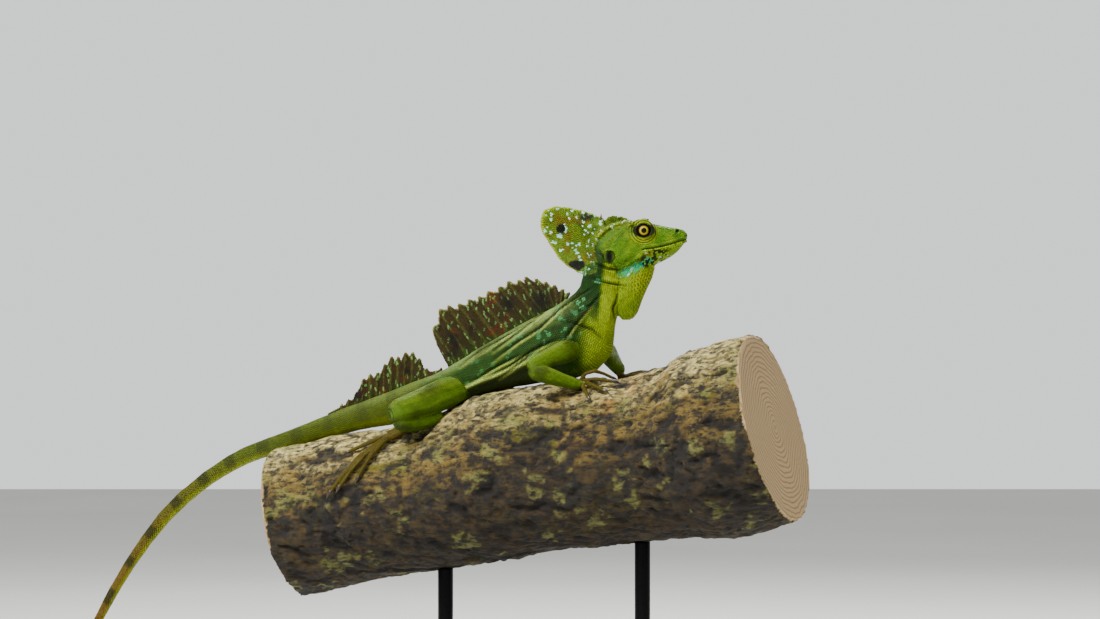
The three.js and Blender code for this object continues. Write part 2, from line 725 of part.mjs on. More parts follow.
// A foot's palm starts inside the end of its limb and runs over the heel to the ball, where the digits leave it.
function makeFoot({ lower, heel, ball, digits, digit }, hand) {
  const ankle = lower.at(-1);
  const places = [heel, [(heel[0] + ball[0]) / 2, (heel[1] + ball[1]) / 2, (heel[2] + ball[2]) / 2 + 0.3], ball];
  const spread = hand ? [3.6, 4.2, 4.6] : [4.4, 4, 4.8];
  const stations = places.map((p, i) => ({ ...onPerch(...p), wide: spread[i], top: spread[i] * 0.62 }));
  stations.unshift({ x: ankle.x, y: ankle.y, z: ankle.z, wide: ankle.wide * 0.86, top: ankle.top * 0.86 });
  const out = onPerch(ball[0], ball[1], 1).sub(onPerch(ball[0], ball[1], 0));
  const palm = rounded(smoothLine(stations, { level: out }), { sides: 10, steps: 6 });
  const root = ball.map((v, i) => THREE.MathUtils.lerp(v, heel[i], hand ? 0.18 : 0.22));
  return join(palm, ...digits.map(({ tip, arch }) => makeDigit(root, tip, arch, digit)));
}

const UP = vector(0, 0, 1);
const makeLimb = (stations, grow = 0) => rounded(smoothLine(stations, { level: UP }), { sides: 12, steps: 9, grow });

// Stand

function makeBase() {
  const { radius, thick, edge } = BASE;
  const profile = [
    [0, 0],
    [radius, 0],
    [radius, thick - edge],
    [radius - edge * 0.3, thick - edge * 0.3],
    [radius - edge, thick],
    [0, thick],
  ].map(([r, h]) => new THREE.Vector2(r, h));
  const disc = new THREE.LatheGeometry(profile, 44);
  disc.rotateX(Math.PI / 2);
  disc.translate(0, 0, -SIGHT_HEIGHT);
  return toSolid(disc);
}

function makeRod(x) {
  const f = perchLine.frame(x);
  const bottom = BASE.thick + GAP - SIGHT_HEIGHT;
  const rod = new THREE.CylinderGeometry(ROD.radius, ROD.radius, f.centre.z - bottom, 18);
  rod.rotateX(Math.PI / 2);
  rod.translate(f.centre.x, f.centre.y, (f.centre.z + bottom) / 2);
  return toSolid(rod);
}

// Materials

const finish = (color, roughness, metalness = 0) => new THREE.MeshStandardMaterial({ color, roughness, metalness });
const FINISHES = {
  skin: finish(0x6f8f2a, 0.55),
  throat: finish(0xa9b02c, 0.55),
  crest: finish(0x7d9130, 0.6),
  sail: finish(0x5c5a24, 0.6),
  eye: finish(0xd9a421, 0.1),
  ear: finish(0x5d7a33, 0.5),
  bark: finish(0x8b7d62, 0.95),
  rod: finish(0x2b2b2b, 0.35, 1),
  base: finish(0x26231f, 0.5),
};

// Putting the model together

const model = new THREE.Group();
model.position.z = SIGHT_HEIGHT;

function addNode(name, solid, material) {
  const { numProp, numVert, vertProperties, triVerts } = largest(solid).simplify(FINEST).getMesh();
  const points = new Float32Array(numVert * 3);
  for (let i = 0; i < numVert; i++) points.set(vertProperties.subarray(i * numProp, i * numProp + 3), i * 3);
  const geometry = new THREE.BufferGeometry();
  geometry.setAttribute("position", new THREE.BufferAttribute(points, 3));
  geometry.setIndex(new THREE.BufferAttribute(triVerts, 1));
  const mesh = new THREE.Mesh(geometry, material);
  mesh.name = name;
  model.add(mesh);
}

const wide = {
  perch: makePerch(GAP),
  trunk: spineLength(SPINE_CUTS.vent, SPINE_CUTS.nape, 12, 20, GAP),
  neck: spineLength(SPINE_CUTS.nape, SPINE_CUTS.skull, 6, 20, GAP),
  tail: spineLength(SPINE_CUTS.middle, SPINE_CUTS.vent, 14, 16, GAP),
  skull: makeSkull(GAP),
  throat: makeThroat(GAP),
};

function addStand() {
  addNode("stand_base", makeBase(), FINISHES.base);
  addNode("stand_rod_left", cut(makeRod(ROD.places[0]), wide.perch), FINISHES.rod);
  addNode("stand_rod_right", cut(makeRod(ROD.places[1]), wide.perch), FINISHES.rod);
  addNode("perch", makePerch(), FINISHES.bark);
}

function addSpine() {
  const c = SPINE_CUTS;
  const tail = (from, to, steps, sides) => cut(spineLength(from, to, steps, sides), wide.perch);
  addNode("tail_4_tip", tail(c.tip, c.rear, 10, 8), FINISHES.skin);
  addNode("tail_3_rear", tail(c.rear, c.middle, 6, 12), FINISHES.skin);
  addNode("tail_2_middle", tail(c.middle, c.base, 7, 16), FINISHES.skin);
  addNode("tail_1_base", tail(c.base, c.vent, 7, 16), FINISHES.skin);
  addNode("torso", tail(c.vent, c.nape, 12, 20), FINISHES.skin);
  addNode("neck", cut(spineLength(c.nape, c.skull, 6, 20), wide.skull), FINISHES.skin);
}

function addHead() {
  const whole = makeHeadWhole();
  addNode("head", cut(whole, jawSlab(-GAP / 2)), FINISHES.skin);
  addNode("lower_jaw", whole.intersect(jawSlab(GAP / 2)), FINISHES.skin);
  for (const [name, side] of [
    ["right", -1],
    ["left", 1],
  ]) {
    const drum = cheek(EAR.fore, EAR.high) - 1.6 + GAP;
    addNode("eye_" + name, eyeBall(side, 0), FINISHES.eye);
    addNode("ear_" + name, earPlug(side, EAR.radius, drum, drum + 0.8), FINISHES.ear);
  }
  addNode("throat_pouch", cut(makeThroat(), wide.skull, wide.neck), FINISHES.throat);
}

function addCrests() {
  addNode("head_crest_front", cut(makeFrontCrest(), wide.skull), FINISHES.crest);
  addNode("head_crest_rear", cut(makeRearCrest(), wide.skull, wide.neck), FINISHES.crest);
  addNode("back_sail", cut(makeSail(), wide.trunk, wide.neck), FINISHES.sail);
  addNode("tail_crest", cut(makeTailCrest(), wide.tail, wide.trunk), FINISHES.sail);
}

function addLegs() {
  const body = [wide.trunk, wide.neck, wide.tail, wide.throat];
  for (const [key, leg] of Object.entries(LEGS)) {
    const [end, side] = key.split("_");
    const fore = end === "fore";
    const upper = cut(makeLimb(leg.upper), ...body, wide.perch);
    const upperWide = makeLimb(leg.upper, GAP);
    const lower = cut(makeLimb(leg.lower), upperWide, ...body, wide.perch);
    const lowerWide = makeLimb(leg.lower, GAP);
    const foot = cut(makeFoot(leg, fore), lowerWide, upperWide, ...body, wide.perch);
    addNode((fore ? "upper_arm_" : "thigh_") + side, upper, FINISHES.skin);
    addNode((fore ? "forearm_" : "shin_") + side, lower, FINISHES.skin);
    addNode((fore ? "hand_" : "foot_") + side, foot, FINISHES.skin);
  }
}

addStand();
addSpine();
addHead();
addCrests();
addLegs();

export default model;
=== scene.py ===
"""A life-size male green basilisk on a short cut branch, held over a round base by two rods.

Lengths in this script are millimetres, and metres where it says so and in the add-on's settings. Heights
on the animal are measured from a level that its eye is EYE_HIGH above. +X is towards its head end, and +Y
is away from the side that the camera sees.
"""

import json
import math

import bpy
import numpy as np
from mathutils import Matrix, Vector
from mathutils.bvhtree import BVHTree

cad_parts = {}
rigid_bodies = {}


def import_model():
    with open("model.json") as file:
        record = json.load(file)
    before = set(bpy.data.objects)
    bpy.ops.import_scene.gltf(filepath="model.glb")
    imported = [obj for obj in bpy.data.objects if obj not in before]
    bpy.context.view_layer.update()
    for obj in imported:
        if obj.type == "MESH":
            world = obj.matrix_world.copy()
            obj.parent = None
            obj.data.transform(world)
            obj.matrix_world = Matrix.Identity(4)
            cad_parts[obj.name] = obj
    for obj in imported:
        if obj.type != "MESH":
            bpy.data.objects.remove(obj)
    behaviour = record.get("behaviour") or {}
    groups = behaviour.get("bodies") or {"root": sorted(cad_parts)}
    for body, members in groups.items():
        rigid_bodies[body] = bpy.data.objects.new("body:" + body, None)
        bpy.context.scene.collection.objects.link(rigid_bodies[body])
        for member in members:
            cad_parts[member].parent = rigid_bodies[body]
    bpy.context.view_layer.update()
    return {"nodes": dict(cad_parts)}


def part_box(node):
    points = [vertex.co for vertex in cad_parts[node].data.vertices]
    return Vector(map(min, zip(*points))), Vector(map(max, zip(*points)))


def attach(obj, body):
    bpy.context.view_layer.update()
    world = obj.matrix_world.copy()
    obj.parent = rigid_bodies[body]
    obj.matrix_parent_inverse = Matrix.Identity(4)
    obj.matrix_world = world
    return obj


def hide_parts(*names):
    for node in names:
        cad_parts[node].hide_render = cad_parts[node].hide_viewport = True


bl_info = {
    "name": "Green basilisk on a branch",
    "version": (1, 0, 0),
    "blender": (4, 5, 0),
    "location": "View3D > Sidebar > Basilisk",
    "description": "Builds the lizard, its perch, its display stand and the studio",
    "category": "Object",
}

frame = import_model()

MM = 0.001
EYE_HIGH = 109.5
HEAD_PITCH = math.radians(14)
BODY_TURN = math.radians(24.7)
PERCH_TURN = math.radians(20)
ROD_BEVEL = 0.0006  # metres
SMOOTH_ANGLE = math.radians(35)  # flatter edges than this are shaded smooth
FLOOR_SIZE = 9  # metres
CAMERA_PLACE = (0.0065, -2.5, 0.3268)  # metres
# Place, aim and size of each area light, in metres.
LIGHTS = {
    "top_light": ((-0.75, -0.75, 1.6), (-0.02, 0, 0.35), 0.8),
    "fill_light": ((0.9, -2.2, 0.8), (0, 0, 0.3), 1.6),
    "rim_light": ((0.3, 1.4, 1.5), (0, 0, 0.35), 0.8),
}
AIR_LIGHT = 0.6  # strength of the light from all sides
AIR_SEEN = 1.3  # how bright that air looks to the camera


def middle(node):
    """The middle of a node's box, in millimetres."""
    low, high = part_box(node)
    return np.array((low + high) / 2) / MM


EYE_RIGHT = middle("eye_right")
EYE_LEFT = middle("eye_left")
EYE_RADIUS = float(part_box("eye_right")[1].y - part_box("eye_right")[0].y) / MM / 2
LEVEL = float(EYE_RIGHT[2]) - EYE_HIGH
HEAD_PLANE = float(EYE_RIGHT[1] + EYE_LEFT[1]) / 2
EYE_OUT = float(EYE_LEFT[1]) - HEAD_PLANE

FLESH = ["head", "lower_jaw", "head_crest_rear", "head_crest_front", "throat_pouch", "neck", "torso"]
FLESH += ["tail_1_base", "tail_2_middle", "tail_3_rear", "tail_4_tip"]
SIDES = ("right", "left")
FLESH += [f"{part}_{side}" for part in ("upper_arm", "forearm", "thigh", "shin") for side in SIDES]
PAWS = [f"{part}_{side}" for part in ("hand", "foot") for side in SIDES]


# Colours


def linear(hex_code):
    """An sRGB hex colour as linear red, green and blue."""
    channels = [int(hex_code[i : i + 2], 16) / 255 for i in (1, 3, 5)]
    return np.array([c / 12.92 if c <= 0.04045 else ((c + 0.055) / 1.055) ** 2.4 for c in channels])


def rgba(hex_code):
    return (*linear(hex_code), 1.0)


# Smooth masks and noise over arrays of points


def ramp(value, low, high):
    """0 below low, 1 above high, and a smooth rise between. Low may lie over high."""
    t = np.clip((value - low) / (high - low), 0, 1)
    return t * t * (3 - 2 * t)


def bell(value, centre, width):
    return np.exp(-(((value - centre) / width) ** 2))


def scatter(cells, seed):
    """Repeatable numbers from 0 to 1 for whole-number cells, one for each row."""
    mixed = np.zeros(len(cells), np.uint64)
    for axis, prime in enumerate((73856093, 19349663, 83492791)):
        mixed ^= (cells[:, axis].astype(np.int64) + 100000).astype(np.uint64) * np.uint64(prime)
    mixed = (mixed + np.uint64(seed * 9176 + 11)) * np.uint64(2654435761)
    mixed ^= mixed >> np.uint64(15)
    mixed = (mixed * np.uint64(2246822519)) & np.uint64(0xFFFFFFFF)
    mixed ^= mixed >> np.uint64(13)
    return (mixed & np.uint64(0xFFFFFF)).astype(float) / 0xFFFFFF


def cloud(points, size, seed=0):
    """Smooth noise from -1 to 1 with lumps of that size."""
    scaled = points / size
    base = np.floor(scaled)
    part = scaled - base
    part = part * part * (3 - 2 * part)
    total = np.zeros(len(points))
    for corner in range(8):
        step = np.array([corner & 1, corner >> 1 & 1, corner >> 2 & 1])
        weight = np.prod(np.where(step, part, 1 - part), axis=1)
        total += weight * scatter(base + step, seed)
    return total * 2 - 1


def rough(points, size, seed=0, layers=4):
    """Noise with finer and finer lumps on top of each other."""
    total = sum(cloud(points, size / 2**k, seed + k) / 2**k for k in range(layers))
    return total / 1.6


def spots(points, size, seed=0, stretch=None):
    """The distance to the nearest of scattered points, in lump sizes, and a number for that point."""
    scaled = points / size if stretch is None else (points @ stretch) / size
    base = np.floor(scaled)
    near = np.full(len(points), 9.0)
    which = np.zeros(len(points))
    for dx in (-1, 0, 1):
        for dy in (-1, 0, 1):
            for dz in (-1, 0, 1):
                cell = base + (dx, dy, dz)
                site = cell + np.stack([scatter(cell, seed + k) for k in (1, 2, 3)], axis=1)
                away = np.linalg.norm(scaled - site, axis=1)
                closer = away < near
                near = np.where(closer, away, near)
                which = np.where(closer, scatter(cell, seed + 7), which)
    return near, which


def deepen(colour, saturation=1.35, power=1.22):
    """Richer and darker colours, which the studio light then lifts again."""
    light = colour @ np.array([0.2126, 0.7152, 0.0722])
    rich = light[:, None] + (colour - light[:, None]) * saturation
    return np.clip(rich, 0.0005, 1) ** power


def mix(first, second, share):
    return first + (second - first) * np.asarray(share)[:, None]


# Body lines

# Axis stations of the trunk and neck, then of the tail behind the vent: x, y, z, half width, half height.
TRUNK_AXIS = [
    (-65, 25.2, 6.5, 11.5, 12),
    (-52, 19.2, 10.4, 13, 13.6),
    (-32.5, 10.3, 19.5, 15.5, 15.8),
    (-13, 1.3, 28.6, 17, 18.8),
    (5.2, -7.1, 34.4, 17.2, 22),
    (20.8, -14.3, 41, 16, 24),
    (32.5, -18.5, 54.6, 13, 18.8),
    (38.6, -20.8, 67.6, 10.2, 14.1),
    (42, -21.8, 80.6, 9.8, 13.4),
    (45, -22, 92, 9.6, 12),
]
TAIL_AXIS = [
    (-65, 25.2, 6.5, 11.5, 12),
    (-81, 32.6, 0.6, 9.6, 12),
    (-97.5, 40.2, -5.5, 8.2, 10.8),
    (-117, 49, -11.5, 7, 9),
    (-140, 59.5, -18.8, 5.9, 7.5),
    (-162.5, 69.5, -26.5, 4.9, 6.2),
]
TAIL_DIPS = (20, 36, 52, 60, 52, 34, 14)
TAIL_HEADINGS = (24, 20, 14, 8, 2, -4, -8)
TAIL_STEP = 54
LIMB_AXES = {
    "arm_right": [(25, -20, 39, 8, 9), (17, -31, 32, 7, 7.5), (6, -40, 28, 5.6, 5.8), (-7, -46, 21.5, 5, 5)],
    "forearm_right": [(-7.5, -46, 20.4, 5, 5), (3, -45.5, 17.2, 5.7, 5.6), (27, -37.5, 9.8, 3.6, 3.4)],
    "arm_left": [(27, -12, 42, 8, 9), (33, 0, 40, 7.6, 8.4), (38, 10, 38, 6.4, 7), (42, 22, 36.5, 5.6, 6)],
    "forearm_left": [(41, 22, 37, 5.8, 5.6), (48, 4, 24.2, 5.2, 4.8), (53, -5, 17.8, 3.9, 3.5)],
    "thigh_right": [(-50, 15, 7, 10, 11), (-76, -5, -3.6, 11, 10), (-98, -17, -9.8, 7.8, 8)],
    "shin_right": [(-95, -15, -12.4, 6.8, 6), (-86, -11.5, -14, 7.6, 6.4), (-63, -1, -10, 5, 4.6)],
    "thigh_left": [(-58, 30, 7, 10, 11), (-36, 52, 3.5, 11, 11), (-18, 68, -3, 7.8, 8.2)],
    "shin_left": [(-20, 66, -4, 6.8, 6.8), (-31, 70, -12, 7.4, 7.2), (-61, 77, -38, 4.6, 4.2)],
}
# The bag of throat skin under the jaw, from its top down.
THROAT_AXIS = [
    (61, -22, 96, 9, 12.5),
    (60, -22, 86, 9.4, 13.2),
    (58, -22, 76, 9.2, 11.5),
    (56.4, -22, 66, 8, 9.8),
    (55.8, -22, 58, 6, 7.5),
    (55.5, -22, 52, 3.6, 4.4),
]
# The head's own middle line, in its frame: fore of the eye, high over it, half width, half height.
HEAD_AXIS = [
    (-34, -4, 8, 9),
    (-24, -7, 12.6, 15),
    (-12, -8.5, 12.2, 16),
    (0, -9, 10.2, 14.6),
    (10, -9.5, 7.6, 10.5),
    (20, -9.3, 5.2, 7),
    (26.5, -9.2, 3.4, 3.4),
]


def head_point(fore, high, out=0.0):
    """A place in the head's frame as a place in the model's frame."""
    c, s = math.cos(HEAD_PITCH), math.sin(HEAD_PITCH)
    x, z = EYE_RIGHT[0] + fore * c - high * s, EYE_RIGHT[2] + fore * s + high * c
    return np.array([x, HEAD_PLANE + out, z])


def head_points(flat, out=0.0):
    outs = np.broadcast_to(out, len(flat))
    return np.array([head_point(fore, high, o) for (fore, high), o in zip(flat, outs)])


def head_frame(points):
    """Fore, high and out from the head's mid plane, for points in the model's frame."""
    c, s = math.cos(HEAD_PITCH), math.sin(HEAD_PITCH)
    dx = points[:, 0] - EYE_RIGHT[0]
    dz = points[:, 2] - EYE_RIGHT[2]
    return dx * c + dz * s, -dx * s + dz * c, points[:, 1] - HEAD_PLANE


def hanging_tail(root):
    """Stations of the tail beyond the perch, from its root to its tip."""
    stations = [root]
    x, y, z = root[:3]
    for i, (dip, heading) in enumerate(zip(TAIL_DIPS, TAIL_HEADINGS)):
        down, turn = math.radians(dip), math.radians(heading)
        x -= math.cos(down) * math.cos(turn) * TAIL_STEP
        y += math.cos(down) * math.sin(turn) * TAIL_STEP
        z -= math.sin(down) * TAIL_STEP
        left = 1 - (i + 1) / len(TAIL_DIPS)
        stations.append((x, y, z, 0.7 + (root[3] - 0.7) * left**1.15, 0.7 + (root[4] - 0.7) * left**1.1))
    return stations


class BodyLine:
    """A line down the middle of a part of the body, sampled every millimetre or so."""

    def __init__(self, name, stations, start=0.0, step=1.0):
        table = np.array(stations, float)
        table[:, 2] += LEVEL
        marks = np.concatenate([[0], np.cumsum(np.linalg.norm(np.diff(table[:, :3], axis=0), axis=1))])
        count = max(3, int(marks[-1] / step) + 1)
        self.name = name
        self.marks = np.linspace(0, marks[-1], count)
        values = np.stack([self.smooth(marks, table[:, k], self.marks) for k in range(5)], axis=1)
        self.places = self.marks + start
        self.points = values[:, :3]
        self.wide = values[:, 3]
        self.tall = values[:, 4]
        along = np.gradient(self.points, axis=0)
        self.along = along / np.linalg.norm(along, axis=1)[:, None]
        side = np.cross(np.array([0, 0, 1.0]), self.along)
        self.side = side / np.linalg.norm(side, axis=1)[:, None]
        self.up = np.cross(self.along, self.side)

    def at(self, mark):
        """The middle, the three directions and the half sizes at a mark on the line."""
        table = np.concatenate([self.points, self.along, self.side, self.up], axis=1)
        row = np.array([np.interp(mark, self.marks, column) for column in table.T])
        sizes = np.interp(mark, self.marks, self.wide), np.interp(mark, self.marks, self.tall)
        return row[:3], row[3:6], row[6:9], row[9:], *sizes

    @staticmethod
    def smooth(marks, values, wanted):
        """Cubic curve through values with Catmull-Rom slopes."""
        slopes = np.gradient(values, marks)
        i = np.clip(np.searchsorted(marks, wanted) - 1, 0, len(marks) - 2)
        width = marks[i + 1] - marks[i]
        t = (wanted - marks[i]) / width
        first = (2 * t**3 - 3 * t**2 + 1) * values[i] + (t**3 - 2 * t**2 + t) * width * slopes[i]
        return first + (3 * t**2 - 2 * t**3) * values[i + 1] + (t**3 - t**2) * width * slopes[i + 1]


def make_lines():
    tail = TAIL_AXIS[:-1] + hanging_tail(TAIL_AXIS[-1])
    lines = [
        BodyLine("trunk", TRUNK_AXIS),
        BodyLine("tail", tail),
        BodyLine("head", [(*(head_point(f, h) - (0, 0, LEVEL)), w, t) for f, h, w, t in HEAD_AXIS]),
    ]
    lines.append(BodyLine("throat", THROAT_AXIS))
    lines += [BodyLine(name, stations) for name, stations in LIMB_AXES.items()]
    return lines


def sample_table():
    """Samples of every body line: places, reach, line number and place in the line."""
    rows = []
    for number, line in enumerate(LINES):
        for i in range(0, len(line.points), 3 if len(line.points) > 60 else 2):
            rows.append((*line.points[i], (line.wide[i] + line.tall[i]) / 2, number, i))
    return np.array(rows)


POINTS_AT_ONCE = 20000  # compared with the samples in one go, to save memory


def nearest_line(points):
    """For each point: its line, the place along it, and how far up it lies, in half heights."""
    table = sample_table()
    samples, reach = table[:, :3], table[:, 3]
    found = np.zeros(len(points), int)
    square = (samples**2).sum(1)
    for start in range(0, len(points), POINTS_AT_ONCE):
        part = slice(start, start + POINTS_AT_ONCE)
        away = (points[part] ** 2).sum(1)[:, None] + square[None] - 2 * points[part] @ samples.T
        away /= (reach**2)[None]
        found[part] = away.argmin(axis=1)
    owner = table[found, 4].astype(int)
    index = table[found, 5].astype(int)
    offset = points - samples[found]
    place, up = np.zeros(len(points)), np.zeros(len(points))
    for number, line in enumerate(LINES):
        mine = owner == number
        i = index[mine]
        place[mine] = line.places[i] + (offset[mine] * line.along[i]).sum(1)
        up[mine] = (offset[mine] * line.up[i]).sum(1) / line.tall[i]
    return owner, place, up


# The perch's own line, on which the paws lie

PERCH_AXIS = [
    (-164.5, -82.6, 49.5),
    (-123.5, -72, 50),
    (-58.5, -60.8, 50.5),
    (-32.5, -52.5, 55.5),
    (0, -45.2, 54.5),
    (39, -40.4, 52.5),
    (72, -35.4, 52.8),
    (91, -32, 55.4),
    (109, -27.6, 61.4),
    (149.5, -16.3, 61),
]
# The tip of each digit: x of the branch's middle there, and degrees round it from the top to the near side.
DIGIT_TIPS = {
    "hand_right": ((36, 26), (41, 24), [(51, 11, 1.5), (59, 15, 8), (62, 24, 3.4), (58, 35, 2), (49, 41, 3)]),
    "hand_left": (
        (52.5, -13),
        (58, -15),
        [(74, -6, 1.5), (80, -13, 3.5), (81, -21, 3), (76, -30, 2), (62, -38, 1.5)],
    ),
    "foot_right": (
        (-60, 24),
        (-84, 36),
        [(-89, 50, 2.4), (-99, 70, 2.2), (-111, 75.5, 2.2), (-117, 78, 2.2), (-108, 46, 2.2)],
    ),
    "foot_left": (
        (-74, -66),
        (-57, -72),
        [(-50, -58, 2.4), (-28, -66, 2.2), (-12, -78, 2.2), (-8, -92, 2.2), (-40, -100, 2.2)],
    ),
}

DIGIT_RADIUS = {"hand": 1.45, "foot": 1.6}


def bark_swell(x, angle):
    return (
        1.1 * math.sin(2 * angle + 0.021 * x)
        + 0.9 * math.sin(3 * angle - 0.034 * x + 1)
        + 0.6 * math.sin(5 * angle + 0.06 * x + 2)
    )


def perch_frame(x):
    """The branch's middle, its direction, its side, its up direction and its radius at an x."""
    table = np.array(PERCH_AXIS, float)

    def centre(at):
        z = BodyLine.smooth(table[:, 0], table[:, 1], np.array([at]))[0]
        return np.array([at, -math.tan(PERCH_TURN) * at, z + LEVEL])

    along = centre(x + 0.5) - centre(x - 0.5)
    along /= np.linalg.norm(along)
    side = np.array([math.sin(PERCH_TURN), math.cos(PERCH_TURN), 0])
    side -= along * side.dot(along)
    side /= np.linalg.norm(side)
    radius = BodyLine.smooth(table[:, 0], table[:, 2], np.array([x]))[0]
    return centre(x), along, side, np.cross(along, side), radius


def on_perch(x, degrees, lift):
    centre, along, side, up, radius = perch_frame(x)
    angle = math.radians(degrees)
    reach = radius + bark_swell(x, angle) + lift
    return centre - side * math.sin(angle) * reach + up * math.cos(angle) * reach


def paw_lines(name):
    """The palm and the digits of one hand or foot as body lines."""
    heel, ball, digits = DIGIT_TIPS[name]
    front = name.startswith("hand")
    limb = {"hand": "forearm", "foot": "shin"}[name.split("_")[0]] + "_" + name.split("_")[1]
    wrist = np.array(LIMB_AXES[limb][-1], float)
    lifts = (4.2, 3.2) if front else (4.6, 3.0)
    low = (0, 0, LEVEL)
    heel_at, ball_at = (on_perch(*place, lift) - low for place, lift in zip((heel, ball), lifts))
    wide, tall = (4.0, 2.6) if front else (4.2, 2.7)
    palm = [(*wrist[:3], wide * 0.9, tall * 1.1), (*heel_at, wide, tall), (*ball_at, wide * 1.1, tall)]
    lines = [BodyLine(name + "_palm", palm, step=0.8)]
    back = 0.18 if front else 0.22
    root = [ball[0] + (heel[0] - ball[0]) * back, ball[1] + (heel[1] - ball[1]) * back]
    root.append(lifts[1] + (lifts[0] - lifts[1]) * back)
    radius = DIGIT_RADIUS[name.split("_")[0]]
    for number, (x, degrees, arch) in enumerate(digits):
        stations = []
        for share in np.linspace(0, 1, 5):
            lift = 1.2 + (root[2] - 1.2) * (1 - share) ** 1.5 + (arch - 1) * math.sin(math.pi * share**0.8)
            at = on_perch(root[0] + (x - root[0]) * share, root[1] + (degrees - root[1]) * share**1.1, lift)
            size = radius * (1.05 - 0.35 * share) * (1 + 0.12 * math.cos(share * 4 * math.pi))
            stations.append((*(at - low), size * 1.12, size * 0.95))
        lines.append(BodyLine(f"{name}_digit_{number + 1}", stations, step=0.8))
    return lines


LINES = make_lines()
FIRST_PAW = len(LINES)
for paw in PAWS:
    LINES += paw_lines(paw)
LINE_NUMBER = {line.name: number for number, line in enumerate(LINES)}


# Mesh helpers


def only(*pieces):
    """Selects these pieces and nothing else."""
    bpy.ops.object.select_all(action="DESELECT")
    for piece in pieces:
        piece.select_set(True)
    bpy.context.view_layer.objects.active = pieces[0]
    return pieces[0]


def edit(piece, *steps):
    """Runs edit mode steps on the whole of a piece."""
    only(piece)
    bpy.ops.object.mode_set(mode="EDIT")
    bpy.ops.mesh.select_all(action="SELECT")
    for step in steps:
        step()
    bpy.ops.object.mode_set(mode="OBJECT")


def apply_modifier(piece, kind, **settings):
    only(piece)
    modifier = piece.modifiers.new(kind, kind)
    for key, value in settings.items():
        setattr(modifier, key, value)
    bpy.ops.object.modifier_apply(modifier=modifier.name)


def node_copy(node):
    """A loose copy of a node's mesh, with its doubled corners merged."""
    source = frame["nodes"][node]
    copy = bpy.data.objects.new(node + "_copy", source.data.copy())
    bpy.context.scene.collection.objects.link(copy)
    copy.data.materials.clear()
    edit(copy, lambda: bpy.ops.mesh.remove_doubles(threshold=1e-6))
    return copy


def mesh_piece(name, points, faces, uv=None):
    """A new piece from corner places in millimetres and faces of three or four corners each."""
    mesh = bpy.data.meshes.new(name)
    faces = np.asarray(faces, np.int32)
    sides = faces.shape[1]
    mesh.vertices.add(len(points))
    mesh.vertices.foreach_set("co", (np.asarray(points) * MM).astype(np.float32).ravel())
    mesh.loops.add(faces.size)
    mesh.loops.foreach_set("vertex_index", faces.ravel())
    mesh.polygons.add(len(faces))
    mesh.polygons.foreach_set("loop_start", np.arange(0, faces.size, sides, dtype=np.int32))
    if uv is not None:
        layer = mesh.uv_layers.new(name="OFBake")
        layer.data.foreach_set("uv", uv[faces.ravel()].astype(np.float32).ravel())
    mesh.update(calc_edges=True)
    mesh.validate()
    piece = bpy.data.objects.new(name, mesh)
    bpy.context.scene.collection.objects.link(piece)
    return piece


def corners(piece):
    """A piece's corner places in millimetres."""
    flat = np.empty(len(piece.data.vertices) * 3, np.float32)
    piece.data.vertices.foreach_get("co", flat)
    return flat.reshape(-1, 3).astype(float) / MM


def set_corners(piece, points):
    piece.data.vertices.foreach_set("co", (points * MM).astype(np.float32).ravel())
    piece.data.update()


def corner_normals(piece):
    flat = np.empty(len(piece.data.vertices) * 3, np.float32)
    piece.data.vertex_normals.foreach_get("vector", flat)
    return flat.reshape(-1, 3).astype(float)


def relax(piece, rounds, weight):
    """Evens the surface out, by a weight from 0 to 1 for each corner, without shrinking it much."""
    edges = np.empty(len(piece.data.edges) * 2, np.int32)
    piece.data.edges.foreach_get("vertices", edges)
    a, b = edges[::2], edges[1::2]
    points = corners(piece)
    count = np.bincount(a, minlength=len(points)) + np.bincount(b, minlength=len(points))
    for turn in range(rounds * 2):
        pull = 0.55 if turn % 2 == 0 else -0.5
        total = np.stack(
            [
                np.bincount(a, points[b, k], len(points)) + np.bincount(b, points[a, k], len(points))
                for k in range(3)
            ],
            axis=1,
        )
        points += (total / count[:, None] - points) * (weight * pull)[:, None]
    set_corners(piece, points)


def set_paint(piece, colours, name="paint"):
    """Stores a linear colour for each corner of a piece."""
    layer = piece.data.color_attributes.new(name=name, type="FLOAT_COLOR", domain="POINT")
    full = np.ones((len(colours), 4), np.float32)
    full[:, :3] = np.clip(colours, 0, 1)
    layer.data.foreach_set("color", full.ravel())


def finish_piece(piece, slot, *nodes, smooth=True):
    """Shades a piece, and has it ride on the model and stand for its CAD nodes."""
    if smooth:
        piece.data.shade_smooth()
    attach(piece, "root")
    if nodes:
        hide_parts(*nodes)


def give(piece, *materials):
    piece.data.materials.clear()
    for material in materials:
        piece.data.materials.append(material)


# Materials


